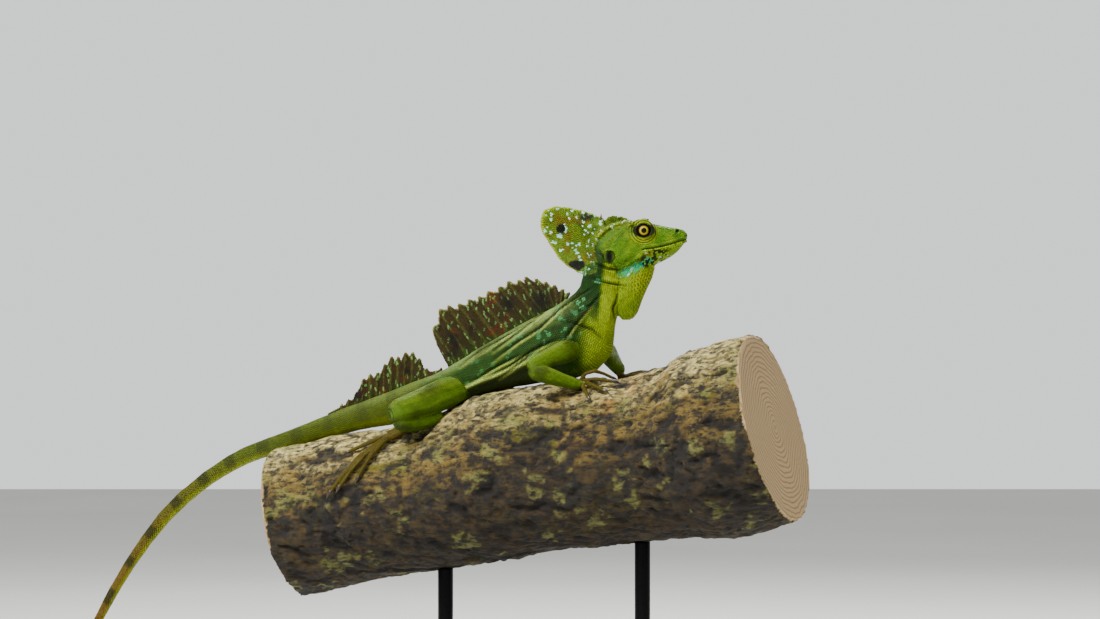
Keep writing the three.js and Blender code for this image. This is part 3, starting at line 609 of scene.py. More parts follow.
class Recipe:
    """A new material and its nodes. A node's sockets go by name, or by number as i0, i1 and so on."""

    def __init__(self, name):
        self.material = bpy.data.materials.new(name)
        self.material.use_nodes = True
        self.tree = self.material.node_tree
        self.tree.nodes.clear()
        self.output = self.add("ShaderNodeOutputMaterial")
        self.shader = self.add("ShaderNodeBsdfPrincipled")
        self.tree.links.new(self.shader.outputs["BSDF"], self.output.inputs["Surface"])

    def add(self, kind, settings=None, **inputs):
        node = self.tree.nodes.new(kind)
        for key, value in (settings or {}).items():
            setattr(node, key, value)
        for key, value in inputs.items():
            name = key.replace("_", " ")
            numbered = key[0] == "i" and key[1:].isdigit()
            self.fill(node.inputs[int(key[1:])] if numbered else node.inputs[name], value)
        return node

    def fill(self, socket, value):
        """Links a socket to another node's, or gives it a value."""
        if isinstance(value, bpy.types.NodeSocket):
            self.tree.links.new(value, socket)
        else:
            socket.default_value = value

    def ramp(self, value, stops):
        """A colour ramp through (place, colour) stops."""
        node = self.add("ShaderNodeValToRGB", i0=value)
        elements = node.color_ramp.elements
        while len(elements) < len(stops):
            elements.new(0.5)
        for element, (place, colour) in zip(elements, stops):
            element.position = place
            element.color = colour
        return node.outputs["Color"]

    def set(self, **inputs):
        for key, value in inputs.items():
            self.fill(self.shader.inputs[key.replace("_", " ")], value)


MULTIPLY_COLOURS = {"data_type": "RGBA", "blend_type": "MULTIPLY"}


def grey(value):
    return (value, value, value, 1.0)


def living_skin(name, roughness, grain_mm, bump_mm):
    """Lizard skin: horny scales with a satin shine. Its markings are in the piece's own paint attribute."""
    r = Recipe(name)
    place = r.add("ShaderNodeTexCoord").outputs["Object"]
    paint = r.add("ShaderNodeAttribute", {"attribute_name": "paint"}).outputs["Color"]
    grain = r.add("ShaderNodeTexNoise", Vector=place, Scale=1000 / grain_mm, Detail=3.0).outputs["Fac"]
    shade = r.ramp(grain, [(0.3, grey(0.72)), (0.7, grey(1.0))])
    tint = r.add("ShaderNodeMix", MULTIPLY_COLOURS, i0=1.0, i6=paint, i7=shade)
    pits = r.add("ShaderNodeTexVoronoi", Vector=place, Scale=1000 / grain_mm).outputs["Distance"]
    bump = r.add("ShaderNodeBump", Height=pits, Distance=bump_mm * MM, Strength=0.6)
    r.set(Base_Color=tint.outputs[2], Roughness=roughness, Normal=bump.outputs["Normal"])
    r.set(Subsurface_Weight=0.05, Subsurface_Scale=0.002, Specular_IOR_Level=0.16)
    return r.material


# The animal's skin

SWELL = 0.35  # each solid is grown by this so that neighbours join
COAT = 0.3  # depth of the coat under the solids' surface
SKIN_TRIANGLES = 190000  # the most that the skin may have
# The skin and the fins' webs are darkened with painted shade where they show between the scales.
UNDER_SCALES = 0.5  # how light the skin is between its scales
UNDER_FIN_SCALES = 0.62
EAR_PLACE = (-25.5, -11)
MOUTH_LINE = [(26.5, -11.9), (20, -12.3), (12, -12.7), (4, -12.4), (-3.5, -11.6)]
NOSTRIL = (21.2, -5.6)
TEMPLE_RIDGE = [(-6, 7.6), (-13, 8.2), (-21, 7.4), (-29, 5.2), (-34, 1.5)]
JAW_FOLD = [(-6, -15), (-13, -18), (-21, -21), (-27, -20)]
# Creases on the near side, from the shoulder and the neck back over the flank: lists of x and height.
FLANK_CREASES = [
    [(28, 72), (14, 60), (0, 47), (-14, 38), (-30, 26)],
    [(34, 62), (22, 48), (12, 34), (4, 25)],
    [(20, 70), (4, 58), (-14, 44), (-30, 32)],
    [(8, 62), (-10, 49), (-28, 38), (-44, 27)],
    [(12, 40), (-4, 33), (-20, 22), (-36, 14)],
    [(2, 36), (-12, 25), (-26, 15)],
    [(-4, 54), (-22, 43), (-38, 33), (-52, 22)],
    [(-12, 30), (-28, 22), (-44, 12)],
]
NECK_CREASES = [
    [(34, 73), (24, 67), (12, 59)],
    [(40, 70), (33, 62), (25, 57)],
    [(50, 68), (47, 60), (48, 52)],
    [(35, 88), (44, 85), (54, 84)],
    [(32, 79), (43, 76), (55, 74)],
    [(36, 96), (42, 92), (48, 92)],
]
SHOULDER_FOLD = [(10, 52), (22, 50), (34, 46), (40, 40)]
BELLY_FOLD = [(-4, 25.5), (-20, 19.5), (-36, 13), (-51, 6)]
BROW_RIDGE = [(18, -0.5), (8, 3.6), (0, 6.6), (-8, 6.2), (-16, 2.5), (-26, -2)]
CHEEK_LINE = [(-6, 5.5), (-14, 3), (-22, -1), (-32, -5)]
CHIN_BAND = [(-20, -23.6), (-12, -22), (-2, -19.2)]
LID_FIRST = 5.4  # radius of the innermost fold of the eyelids
LID_STEP = 1.55
EYE_RINGS = (4.15, 4.85, 5.6, 6.35, 7.1, 7.9, 8.7, 9.5)  # radii of the rings of small scales round the eye
# Rows of lip plates: over the mouth line, how many, first and last place, and size.
LIP_ROWS = [
    (0.95, 22, 25, -3.5, 1.3),
    (-0.95, 22, 24.5, -3.5, 1.3),
    (2.05, 23, 24, -3.5, 1.15),
    (-2.05, 23, 23, -3.5, 1.15),
]
EYE_SINK = -0.15  # how far the eyeball is drawn out of its socket; below 0 it lies deeper


def along_line(x, z, line):
    """The distance from places in a side view to a line of x and height, and the share of the way along."""
    best = np.full(len(x), 1e9)
    share = np.zeros(len(x))
    for i in range(len(line) - 1):
        (x0, z0), (x1, z1) = line[i], line[i + 1]
        reach = (x1 - x0) ** 2 + (z1 - z0) ** 2
        t = np.clip(((x - x0) * (x1 - x0) + (z - z0) * (z1 - z0)) / reach, 0, 1)
        away = np.hypot(x - x0 - t * (x1 - x0), z - z0 - t * (z1 - z0))
        share = np.where(away < best, (i + t) / (len(line) - 1), share)
        best = np.minimum(best, away)
    return best, share


def crease(x, z, line, depth, width):
    """A groove with a soft fold under it that fades out at both ends."""
    away, share = along_line(x, z, line)
    fade = np.sin(np.pi * np.clip(share, 0.04, 0.96)) ** 0.6
    return fade * (-depth * bell(away, 0, width) + depth * 0.45 * bell(away, width * 2.2, width * 1.3))


class Places:
    """What the markings and the relief need to know about each point of the animal."""

    def __init__(self, points, normals):
        self.points = points
        self.normals = normals
        self.owner, self.place, self.up = nearest_line(points)
        self.fore, self.high, self.out = head_frame(points)
        self.x = points[:, 0]
        self.z = points[:, 2] - LEVEL
        self.eye = np.hypot(self.fore, self.high)
        self.on_throat = self.owner == LINE_NUMBER["throat"]
        self.on_head = ((self.owner == LINE_NUMBER["head"]) | (self.fore > -24)) & (self.high > -26)
        self.on_head &= (self.fore > -46) & ~(self.on_throat & (self.high < -20))
        self.on_trunk = self.owner == LINE_NUMBER["trunk"]
        self.on_tail = self.owner == LINE_NUMBER["tail"]
        self.on_limb = self.owner > LINE_NUMBER["throat"]
        self.head = self.on_head.astype(float)


def lid_wave(p):
    """1 on each fold of the eyelids and -1 between them."""
    return np.cos((p.eye - LID_FIRST) * 2 * math.pi / LID_STEP)


def over_belly_fold(p):
    """The height over the belly fold, in a side view."""
    return p.z - np.interp(p.x, [x for x, _ in BELLY_FOLD[::-1]], [z for _, z in BELLY_FOLD[::-1]])


def relief(p):
    """How far the skin stands out or in, in millimetres, apart from its scales."""
    side = np.abs(p.normals[:, 1])
    out = np.zeros(len(p.points))
    rings = ramp(p.eye, 4.2, 5.0) * ramp(p.eye, 11.4, 8.8) * p.head * ramp(side, 0.12, 0.5)
    out += 0.32 * lid_wave(p) * rings
    away, _ = along_line(p.fore, p.high, MOUTH_LINE)
    lips = p.head * ramp(np.abs(p.out), 0.5, 2) * ramp(p.fore, 26, 23.5)
    out += lips * (-0.7 * bell(away, 0, 0.36) + 0.22 * bell(away, 1.2, 0.7))
    nostril = np.hypot(p.fore - NOSTRIL[0], p.high - NOSTRIL[1])
    out += p.head * ramp(side, 0.2, 0.5) * (-1.6 * bell(nostril, 0, 0.85) + 0.4 * bell(nostril, 1.7, 0.6))
    ear = np.hypot(p.fore - EAR_PLACE[0], p.high - EAR_PLACE[1])
    out += p.head * 0.35 * bell(ear, 4.6, 0.8)
    jaw = bell(p.fore, -15, 7) * bell(p.high, -13.5, 4.5)
    temple = bell(p.fore, -18, 8) * bell(p.high, -3.5, 4)
    out += p.head * ramp(side, 0.4, 0.8) * (0.9 * jaw + 0.7 * temple)
    ridge, _ = along_line(p.fore, p.high, BROW_RIDGE)
    out += p.head * ramp(side, 0.2, 0.5) * 0.5 * bell(ridge, 0, 1.1)
    crown, _ = along_line(p.fore, p.high, TEMPLE_RIDGE)
    out += p.head * ramp(side, 0.1, 0.4) * (0.9 * bell(crown, 0, 1.5) - 0.4 * bell(crown, 3.2, 1.3))
    fold, _ = along_line(p.fore, p.high, JAW_FOLD)
    out += p.head * ramp(side, 0.3, 0.6) * (0.5 * bell(fold, 0, 1.0) - 0.4 * bell(fold, 1.8, 0.8))
    body = (p.on_trunk | (p.on_head & (p.fore < -30))) & (p.points[:, 1] < 60)
    body = body * ramp(side, 0.15, 0.5)
    for line in FLANK_CREASES:
        out += body * crease(p.x, p.z, line, 1.1, 0.9)
    for line in NECK_CREASES:
        out += ramp(p.z, 50, 54) * (p.z < 99) * (p.x < 58) * crease(p.x, p.z, line, 0.9, 0.85)
    out += body * crease(p.x, p.z, SHOULDER_FOLD, 1.1, 1.5)
    belly, share = along_line(p.x, p.z, BELLY_FOLD)
    fade = np.sin(np.pi * share.clip(0.03, 0.97)) ** 0.4
    under = ramp(over_belly_fold(p), 0.5, -1)
    out += body * fade * (1.3 * bell(belly, 0, 1.3) - 1.1 * bell(belly, 3.2, 1.8) * under)
    sag = rough(p.points, 13, 3, 2)
    return out + 0.35 * sag * (p.on_trunk | p.on_tail) * (1 - p.head)


# Skin colours in sRGB
GREENS = {
    "head": "#728f14",
    "head_top": "#5c7a12",
    "temple": "#5d7818",
    "eye_ring": "#b6c23a",
    "lip": "#a9b955",
    "jaw": "#93aa3a",
    "jaw_spot": "#46590f",
    "turquoise": "#4fb5a0",
    "mint": "#74ab84",
    "throat": "#96a41a",
    "throat_low": "#a8b01e",
    "neck_back": "#2b4614",
    "flank": "#344c17",
    "belly_shade": "#2e3513",
    # The colour of the painted highlights along the folds.
    "fold": "#c3cd8e",
    "flank_low": "#6f8427",
    "back_band_and_highlight": "#87946a",
    "belly": "#98a03a",
    "thigh": "#61751c",
    "arm": "#687c20",
    "tail": "#5a6430",
    "tail_end": "#6b5a35",
    "tail_dark": "#2f3216",
    "digit": "#5b4d25",
    # The colour of the painted shade in the folds of the flank and neck.
    "crease": "#1c2a10",
    "dark": "#1a230b",
    "ridge": "#c3c878",
    "white": "#dfe9dc",
    "blush": "#9c7444",
}
GREENS = {name: linear(code) for name, code in GREENS.items()}


class Patches:
    """The scattered blotches and flecks that several of the markings share."""

    def __init__(self, points):
        self.blotch = rough(points, 9, 11, 3)
        self.fleck, self.which = spots(points, 4.6, 21)
        self.speck, self.turn = spots(points, 2.1, 35)


def plain(p, name):
    """One of the skin's colours at every point."""
    return np.tile(GREENS[name], (len(p.points), 1))


def trunk_colours(p, patches):
    g, blotch = GREENS, patches.blotch
    trunk = plain(p, "flank")
    # A pale band along the top of the back: partly the animal's own colour, partly a painted highlight from
    # above.
    trunk = mix(trunk, g["back_band_and_highlight"], 0.9 * ramp(p.up, 0.3, 0.8) * ramp(p.z, 82, 62))
    fold = over_belly_fold(p)
    trunk = mix(trunk, g["flank_low"], 0.6 * ramp(fold, 12, 2) * ramp(blotch, -0.3, 0.3))
    trunk = mix(trunk, g["belly_shade"], 0.9 * ramp(fold, 0.3, -1.2) * ramp(p.x, 18, 4))
    # A painted highlight along the lit ridge of the belly fold.
    lit = bell(fold, 0.9, 1.3) * ramp(p.x, 4, -4) * ramp(p.x, -56, -48)
    trunk = mix(trunk, g["fold"], 0.95 * lit)
    # Painted glints: highlights just under each flank crease, on faces turned to the near side.
    for line in FLANK_CREASES:
        away, share = along_line(p.x, p.z + 1.7, line)
        glint = np.sin(np.pi * share.clip(0.04, 0.96)) ** 0.6
        trunk = mix(trunk, g["fold"], 0.75 * glint * bell(away, 0, 0.9) * ramp(p.normals[:, 1], -0.1, -0.5))
    neck = ramp(p.z, 58, 72)
    trunk = mix(trunk, g["neck_back"], neck)
    front = ramp(p.x - 0.1 * (p.z - 60) + 1.5 * blotch, 36.5, 40.5) * ramp(p.z, 34, 46)
    chest = ramp(p.x, 22, 34) * ramp(p.z, 62, 46) * ramp(p.up, 0.5, 0)
    trunk = mix(trunk, g["throat"], np.maximum(front, chest * 0.9))
    turquoise = (patches.fleck < 0.33 + 0.12 * (patches.which - 0.5)) & (patches.which > 0.4)
    where = ramp(p.up, -0.75, -0.35) * (1 - np.maximum(front, chest))
    crowd = (0.35 + 0.65 * neck + 0.4 * ramp(p.x, -30, 10)).clip(0, 1)
    trunk = mix(trunk, g["mint"], turquoise * 0.8 * where * crowd)
    return mix(trunk, g["dark"], 0.4 * ramp(blotch, 0.15, 0.6) * (1 - front))


def head_colours(p):
    g = GREENS
    head = plain(p, "head")
    head = mix(head, g["head_top"], ramp(p.high, 4, 9))
    head = mix(head, g["temple"], 0.8 * bell(p.fore, -14, 8) * bell(p.high, 1, 5))
    head = mix(head, g["neck_back"], 0.45 * ramp(rough(p.points, 5.5, 13, 3), 0.1, 0.55))
    head = mix(head, g["throat"], 0.5 * ramp(rough(p.points, 7, 15, 3), 0.1, 0.5))
    head = mix(head, g["eye_ring"], 0.75 * ramp(p.eye, 10.5, 7.4))
    cheek, _ = along_line(p.fore, p.high, CHEEK_LINE)
    head = mix(head, g["lip"], 0.35 * bell(cheek, 0, 1.5))
    crown, _ = along_line(p.fore, p.high, TEMPLE_RIDGE)
    head = mix(head, g["ridge"], 0.8 * bell(crown, 0, 2.3))
    head = mix(head, g["temple"], 0.75 * bell(crown, 4.5, 2.4) * ramp(p.fore, -4, -10))
    # Painted shade in the grooves between the folds of the eyelids.
    between = 0.5 - 0.5 * lid_wave(p)
    head = mix(head, g["dark"], 0.8 * between * ramp(p.eye, 4.2, 4.8) * ramp(p.eye, 10.4, 7.6))
    # Painted shade in the deep corners of the eye's opening.
    corner = (p.fore / 7.0) ** 2 + ((p.high + 0.12 * p.fore) / 4.3) ** 2
    head = mix(head, g["dark"], 0.95 * ramp(corner, 1.2, 0.9))
    head = mix(head, g["jaw"], ramp(p.high, -11.2, -13) * ramp(p.fore, -12, -4))
    lips, _ = along_line(p.fore, p.high, MOUTH_LINE)
    head = mix(head, g["lip"], 0.45 * bell(lips, 1.6, 1.3) * ramp(p.fore, -6, 0) * ramp(p.high, -11, -13))
    # Painted shade in the groove of the mouth.
    head = mix(head, g["dark"], 0.85 * bell(lips, 0, 0.4))
    speck, spin = spots(p.points, 2.6, 31)
    head = mix(head, g["jaw_spot"], 0.75 * (speck < 0.3) * ramp(p.high, -10, -14) * (spin > 0.3))
    head = mix(head, g["dark"], 0.35 * (speck < 0.26) * (spin > 0.55) * ramp(p.high, -9, -5))
    head = mix(head, g["neck_back"], 0.85 * ramp(p.fore + 0.3 * p.high, -27, -34))
    low = ramp(p.high, -20.5, -25) * ramp(p.fore, -32, -27)
    head = mix(head, g["throat"], low)
    # The nostril is darkened with painted shade in its pit.
    return mix(head, g["dark"], ramp(np.hypot(p.fore - NOSTRIL[0], p.high - NOSTRIL[1]), 1.25, 0.8))


def tail_colours(p, blotch):
    """Olive, with dark bands that grow stronger to the tip."""
    g = GREENS
    tail = plain(p, "tail")
    tail = mix(tail, g["tail_end"], ramp(p.place, 120, 330))
    # Paler on top near the root: the back band, partly a painted highlight.
    tail = mix(tail, g["back_band_and_highlight"], 0.5 * ramp(p.up, 0.1, 0.8) * ramp(p.place, 140, 20))
    bands = np.sin(p.place * 2 * math.pi / 26 + 0.7 * cloud(p.points, 14, 5)) + 0.35 * blotch
    tail = mix(tail, g["tail_dark"], (0.28 + 0.5 * ramp(p.place, 60, 260)) * ramp(bands, 0.25, 0.75))
    return mix(tail, g["belly"], 0.6 * ramp(p.up, -0.3, -0.9))


def limb_colours(p, blotch):
    g = GREENS
    limb = plain(p, "arm")
    hind = p.owner >= LINE_NUMBER["thigh_right"]
    limb[hind] = g["thigh"]
    # A painted highlight on the limbs' upward faces, and painted shade on their undersides.
    limb = mix(limb, g["back_band_and_highlight"], 0.55 * ramp(p.normals[:, 2], 0.3, 0.9))
    limb = mix(limb, g["tail_dark"], 0.55 * ramp(blotch, 0.05, 0.6))
    return mix(limb, g["belly_shade"], 0.5 * ramp(p.normals[:, 2], -0.1, -0.7))


def pouch_colours(p, blotch):
    """The throat pouch, with dark rows that slant down to its front edge."""
    g = GREENS
    pouch = plain(p, "throat")
    pouch = mix(pouch, g["throat_low"], ramp(blotch, -0.2, 0.5))
    rows = np.sin((p.x + 0.9 * p.z) * 2 * math.pi / 2.6)
    pouch = mix(pouch, g["jaw_spot"], 0.75 * ramp(rows, 0.1, 0.8) * ramp(p.x, 56, 63) * ramp(p.z, 88, 76))
    pouch = mix(pouch, g["temple"], 0.3 * ramp(rows, 0.1, 0.8))
    return mix(pouch, g["temple"], 0.4 * ramp(rough(p.points, 7, 37, 2), 0.1, 0.5))


def chin_colours(p, colour, patches):
    """Adds the turquoise band under the jaw, and the black and white specks before it."""
    g, speck, turn = GREENS, patches.speck, patches.turn
    band, _ = along_line(p.fore, p.high, CHIN_BAND)
    chin = p.on_head | p.on_throat
    banded = 0.9 * chin * ramp(band + 2.4 * (turn - 0.5) + 0.9 * patches.blotch, 3.6, 1.2)
    banded = banded * (0.35 + 0.65 * ramp(rough(p.points, 2.4, 37, 2), -0.35, 0.15))
    colour = mix(colour, g["turquoise"], banded)
    colour = mix(colour, g["white"], 0.75 * banded * (speck < 0.42) * (turn < 0.4))
    salt = chin * ramp(bell(p.fore, 3, 9) * bell(p.high, -19, 5), 0.15, 0.4)
    colour = mix(colour, g["dark"], 0.95 * salt * (speck < 0.55) * (turn > 0.45))
    colour = mix(colour, g["white"], 0.85 * salt * (speck < 0.42) * (turn < 0.4))
    return mix(colour, g["blush"], 0.4 * bell(p.fore, -1, 3) * bell(p.high, -15.5, 2) * (turn > 0.4) * chin)


def markings(p):
    """The animal's colours at its points, before the scales' own light and shade."""
    patches = Patches(p.points)
    trunk = trunk_colours(p, patches)
    colour = np.where(p.on_limb[:, None], limb_colours(p, patches.blotch), trunk)
    colour = np.where(p.on_tail[:, None], tail_colours(p, patches.blotch), colour)
    vent = ramp(p.place, 14, 0) * p.on_tail
    colour = mix(colour, trunk, vent)
    colour = np.where(p.on_throat[:, None], pouch_colours(p, patches.blotch), colour)
    colour = np.where(p.on_head[:, None], head_colours(p), colour)
    colour = chin_colours(p, colour, patches)
    return mix(colour, GREENS["digit"], 0.85 * (p.owner >= FIRST_PAW))


def crease_shade(p):
    """How dark the folds of the flank and neck lie, from 0 to 1."""
    body = (p.on_trunk | (p.on_head & (p.fore < -30))) * ramp(np.abs(p.normals[:, 1]), 0.15, 0.5)
    shade = np.zeros(len(p.points))
    for line in FLANK_CREASES + [SHOULDER_FOLD]:
        away, share = along_line(p.x, p.z, line)
        shade = np.maximum(shade, body * bell(away, 0, 0.95) * np.sin(np.pi * share.clip(0.04, 0.96)) ** 0.5)
    for line in NECK_CREASES:
        away, share = along_line(p.x, p.z, line)
        fade = ramp(p.z, 50, 54) * (p.z < 99) * np.sin(np.pi * share.clip(0.04, 0.96)) ** 0.5
        shade = np.maximum(shade, bell(away, 0, 0.9) * fade)
    return shade


def paint(p):
    # The folds are darkened with painted shade.
    return deepen(mix(markings(p), GREENS["crease"], 0.9 * crease_shade(p)))


def keep_island(piece, near):
    """Deletes all that isn't joined to the corner nearest a place."""
    points = corners(piece)
    start = int(np.linalg.norm(points - near, axis=1).argmin())
    only(piece)
    bpy.ops.object.mode_set(mode="EDIT")
    bpy.ops.mesh.select_all(action="DESELECT")
    bpy.ops.object.mode_set(mode="OBJECT")
    piece.data.vertices[start].select = True
    bpy.ops.object.mode_set(mode="EDIT")
    bpy.ops.mesh.select_linked()
    bpy.ops.mesh.select_all(action="INVERT")
    bpy.ops.mesh.delete(type="VERT")
    bpy.ops.object.mode_set(mode="OBJECT")


def grow(piece, distance):
    set_corners(piece, corners(piece) + corner_normals(piece) * distance)


def make_skin(voxel, most_triangles):
    """The flesh solids as one closed skin, evened out, with its relief."""
    copies = [node_copy(node) for node in FLESH + PAWS]
    for copy in copies:
        grow(copy, SWELL)
    only(*copies)
    bpy.ops.object.join()
    skin = bpy.context.view_layer.objects.active
    skin.name = "skin"
    apply_modifier(skin, "REMESH", mode="VOXEL", voxel_size=voxel * MM)
    keep_island(skin, LINES[0].points[60] + (0, -16, 0))
    points = corners(skin)
    owner, place, _ = nearest_line(points)
    thin = (owner >= FIRST_PAW) * 0.95
    thin = np.maximum(thin, ramp(place, 330, 430) * (owner == LINE_NUMBER["tail"]) * 0.8)
    fine = (owner == LINE_NUMBER["head"]).astype(float)
    relax(skin, 26, 1 - 0.86 * thin - 0.5 * fine * (1 - thin))
    p = Places(corners(skin), corner_normals(skin))
    depth = relief(p) * (1 - thin) - SWELL * (1 - 0.35 * thin) - COAT * (1 - 0.5 * thin)
    set_corners(skin, p.points + p.normals * depth[:, None])
    relax(skin, 1, np.full(len(points), 0.5))
    triangles = sum(len(face.vertices) - 2 for face in skin.data.polygons)
    apply_modifier(skin, "DECIMATE", ratio=min(1.0, most_triangles / triangles))
    return skin


def unwrap(piece):
    edit(piece, lambda: bpy.ops.uv.smart_project(angle_limit=1.15, island_margin=0.001))
    piece.data.uv_layers.active.name = "OFBake"


# The coat of scales

# Outline and ridge of a keeled scale in pitches: back, aside, up, and how light it is, which paints shade on
# its rim and a highlight along its keel.
KEELED = [
    (-0.62, 0, -0.04, 0.42),
    (-0.25, -0.5, 0.1, 0.6),
    (0.3, -0.43, 0.2, 0.82),
    (0.86, 0, 0.26, 1.0),
    (0.3, 0.43, 0.2, 0.82),
    (-0.25, 0.5, 0.1, 0.6),
    (-0.15, 0, 0.3, 1.05),
    (0.42, 0, 0.38, 1.18),
    (0.05, 0, -0.34, 0.4),
]
KEELED_FACES = [(0, 6, 1), (1, 6, 7), (1, 7, 2), (2, 7, 3), (3, 7, 4), (4, 7, 6), (4, 6, 5), (5, 6, 0)]
KEELED_FACES += [(i, (i + 1) % 6, 8) for i in range(6)]


def pebble_template():
    """A rounded scale with six sides, with painted shade on its rim and a painted highlight on top."""
    points, faces = [], []
    for reach, up, light in ((0.5, 0.02, 0.5), (0.33, 0.26, 0.95)):
        for k in range(6):
            angle = math.radians(60 * k + 30)
            points.append((reach * math.cos(angle) * 1.05, reach * math.sin(angle), up, light))
    points += [(0.05, 0, 0.33, 1.12), (0, 0, -0.34, 0.4)]
    for k in range(6):
        n = (k + 1) % 6
        faces += [(k, n, 6 + n), (k, 6 + n, 6 + k), (6 + k, 6 + n, 12), (n, k, 13)]
    return points, faces


TEMPLATES = {"keeled": (KEELED, KEELED_FACES), "pebble": pebble_template()}


def left_bare(p):
    """Where no scale stands: eyeballs, eardrums, nostrils, and the lips, which have plates of their own."""
    bare = (p.eye < 3.9) | (np.hypot(p.fore - EAR_PLACE[0], p.high - EAR_PLACE[1]) < 3.6)
    bare |= np.hypot(p.fore - NOSTRIL[0], p.high - NOSTRIL[1]) < 0.9
    lips, _ = along_line(p.fore, p.high, MOUTH_LINE)
    bare |= (lips < 2.6) & (p.fore > -4) & (np.abs(p.normals[:, 1]) > 0.35)
    return bare & p.on_head


class Surface:
    """The skin as a target for rays, with its smooth normals and its unwrap."""

    def __init__(self, piece):
        mesh = piece.data
        points = corners(piece)
        faces = [tuple(face.vertices) for face in mesh.polygons]
        self.tree = BVHTree.FromPolygons(points.tolist(), faces)
        normals = corner_normals(piece)
        starts = np.array([face.loop_start for face in mesh.polygons])
        loops = np.empty(len(mesh.loops), np.int32)
        mesh.loops.foreach_get("vertex_index", loops)
        flat = np.empty(len(mesh.loops) * 2, np.float32)
        mesh.uv_layers["OFBake"].data.foreach_get("uv", flat)
        flat = flat.reshape(-1, 2)
        self.uv = (flat[starts] + flat[starts + 1] + flat[starts + 2]) / 3
        total = normals[loops[starts]] + normals[loops[starts + 1]] + normals[loops[starts + 2]]
        self.normals = total / np.linalg.norm(total, axis=1)[:, None]

    def hit(self, start, way, reach=80):
        where, _, face, _ = self.tree.ray_cast(Vector(start), Vector(way), reach)
        return (where, face) if where is not None else None


def ring_rays(line, pitch):
    """Start, direction and backward direction of rays around a body line, row by row, with round ends."""
    rays = []
    tailward = -1 if line.name in ("trunk", "head") else 1
    row_step = pitch * 0.86
    length = line.marks[-1]
    rows = int(length / row_step) + 1
    for row in range(-8, rows + 8):
        mark = row * row_step
        centre, along, side, up, wide, tall = line.at(mark)
        lean = 0.0
        if mark < 0 or mark > length:
            over = mark if mark < 0 else mark - length
            lean = over / ((wide + tall) / 2)
            if abs(lean) > 1.45:
                continue
        reach = (wide + tall) / 2 * math.cos(lean)
        count = max(4, int(2 * math.pi * reach / pitch / 4 + 0.5) * 4)
        for k in range(count):
            angle = (k + (row % 2) * 0.5) * 2 * math.pi / count
            level = side * math.sin(angle) * wide + up * math.cos(angle) * tall
            level /= np.linalg.norm(level)
            tilt = lean * (1 + 0.14 * math.sin(7.3 * k + 3.1 * row) * math.sin(2.1 * k - 1.7 * row))
            way = level * math.cos(tilt) + along * math.sin(tilt)
            rays.append((centre, way, along * tailward))
    return rays


# The distance from scale to scale.
PITCH = {"trunk": 1.2, "tail": 1.35, "head": 0.95, "throat": 1.15}
LIMB_PITCH = 1.2
PAW_PITCH = 0.85
SCALE_PATCH = 0.0015  # the width of a scale in its piece's unwrap


def scale_sites(surface, share):
    """Where each scale grows: place, normal, backward direction, pitch, owner line and unwrap place."""
    sites = []
    for number, line in enumerate(LINES):
        pitch = PITCH.get(line.name, PAW_PITCH if number >= FIRST_PAW else LIMB_PITCH) * share
        found = []
        for start, way, back in ring_rays(line, pitch):
            hit = surface.hit(start, way)
            if hit is None:
                continue
            where, face = hit
            normal = surface.normals[face]
            if normal.dot(way) > 0.3:
                found.append((*where, *normal, *back, pitch, number, *surface.uv[face]))
        found = np.array(found)
        cells = np.floor(found[:, :3] / (pitch * 0.42)).astype(int)
        _, first = np.unique(cells, axis=0, return_index=True)
        sites.append(found[np.sort(first)])
    sites = np.concatenate(sites)
    owner = nearest_line(sites[:, :3])[0]
    return sites[owner == sites[:, 10].astype(int)]


def lay_scales(name, sites, template, colours, lift=1.0, jitter=0.08):
    """One mesh of many scales of a kind, painted with a colour each."""
    pattern, faces = TEMPLATES[template]
    pattern = np.array(pattern, float)
    n = len(sites)
    normal = sites[:, 3:6]
    back = sites[:, 6:9] - normal * (sites[:, 6:9] * normal).sum(1)[:, None]
    back /= np.linalg.norm(back, axis=1)[:, None] + 1e-9
    aside = np.cross(normal, back)
    cells = np.floor(sites[:, :3] * 50).astype(int)
    size = sites[:, 9] * (1 + jitter * (scatter(cells, 5) * 2 - 1))
    points = sites[:, None, :3] + size[:, None, None] * (
        pattern[None, :, 0, None] * back[:, None] * 1.12
        + pattern[None, :, 1, None] * aside[:, None] * 1.1
        + pattern[None, :, 2, None] * normal[:, None] * lift
    )
    count = len(pattern)
    index = np.array(faces)[None] + (np.arange(n) * count)[:, None, None]
    uv = sites[:, None, 11:13] + pattern[None, :, :2] * SCALE_PATCH
    piece = mesh_piece(name, points.reshape(-1, 3), index.reshape(-1, 3), uv.reshape(-1, 2))
    # Each scale's painted light and shade, times a random tone of its own.
    shade = pattern[None, :, 3, None] * (1 + 0.22 * (scatter(cells, 9) * 2 - 1))[:, None, None]
    set_paint(piece, (colours[:, None] * shade).reshape(-1, 3))
    return piece


MOST_SCALES = {"keeled": 14000, "pebble": 8200}  # in one piece


def coat_of(name, sites, template, colours, material, slot="skin", **settings):
    """Lays scales as pieces that each stay under 200,000 triangles."""
    most = MOST_SCALES[template]
    parts = max(1, math.ceil(len(sites) / most))
    for k in range(parts):
        part = slice(k * len(sites) // parts, (k + 1) * len(sites) // parts)
        label = name if parts == 1 else f"{name}_{k + 1}"
        piece = lay_scales(label, sites[part], template, colours[part], **settings)
        give(piece, material)
        finish_piece(piece, slot)


def side_site(surface, fore, high, side, way, pitch):
    """A scale where a line across the head meets the skin of one side."""
    hit = surface.hit(head_point(fore, high, side * 30), (0, -side, 0), 45)
    if hit is None or surface.normals[hit[1]][1] * side < 0.08:
        return []
    where, face = hit
    return [(*where, *surface.normals[face], *way, pitch, LINE_NUMBER["head"], *surface.uv[face])]


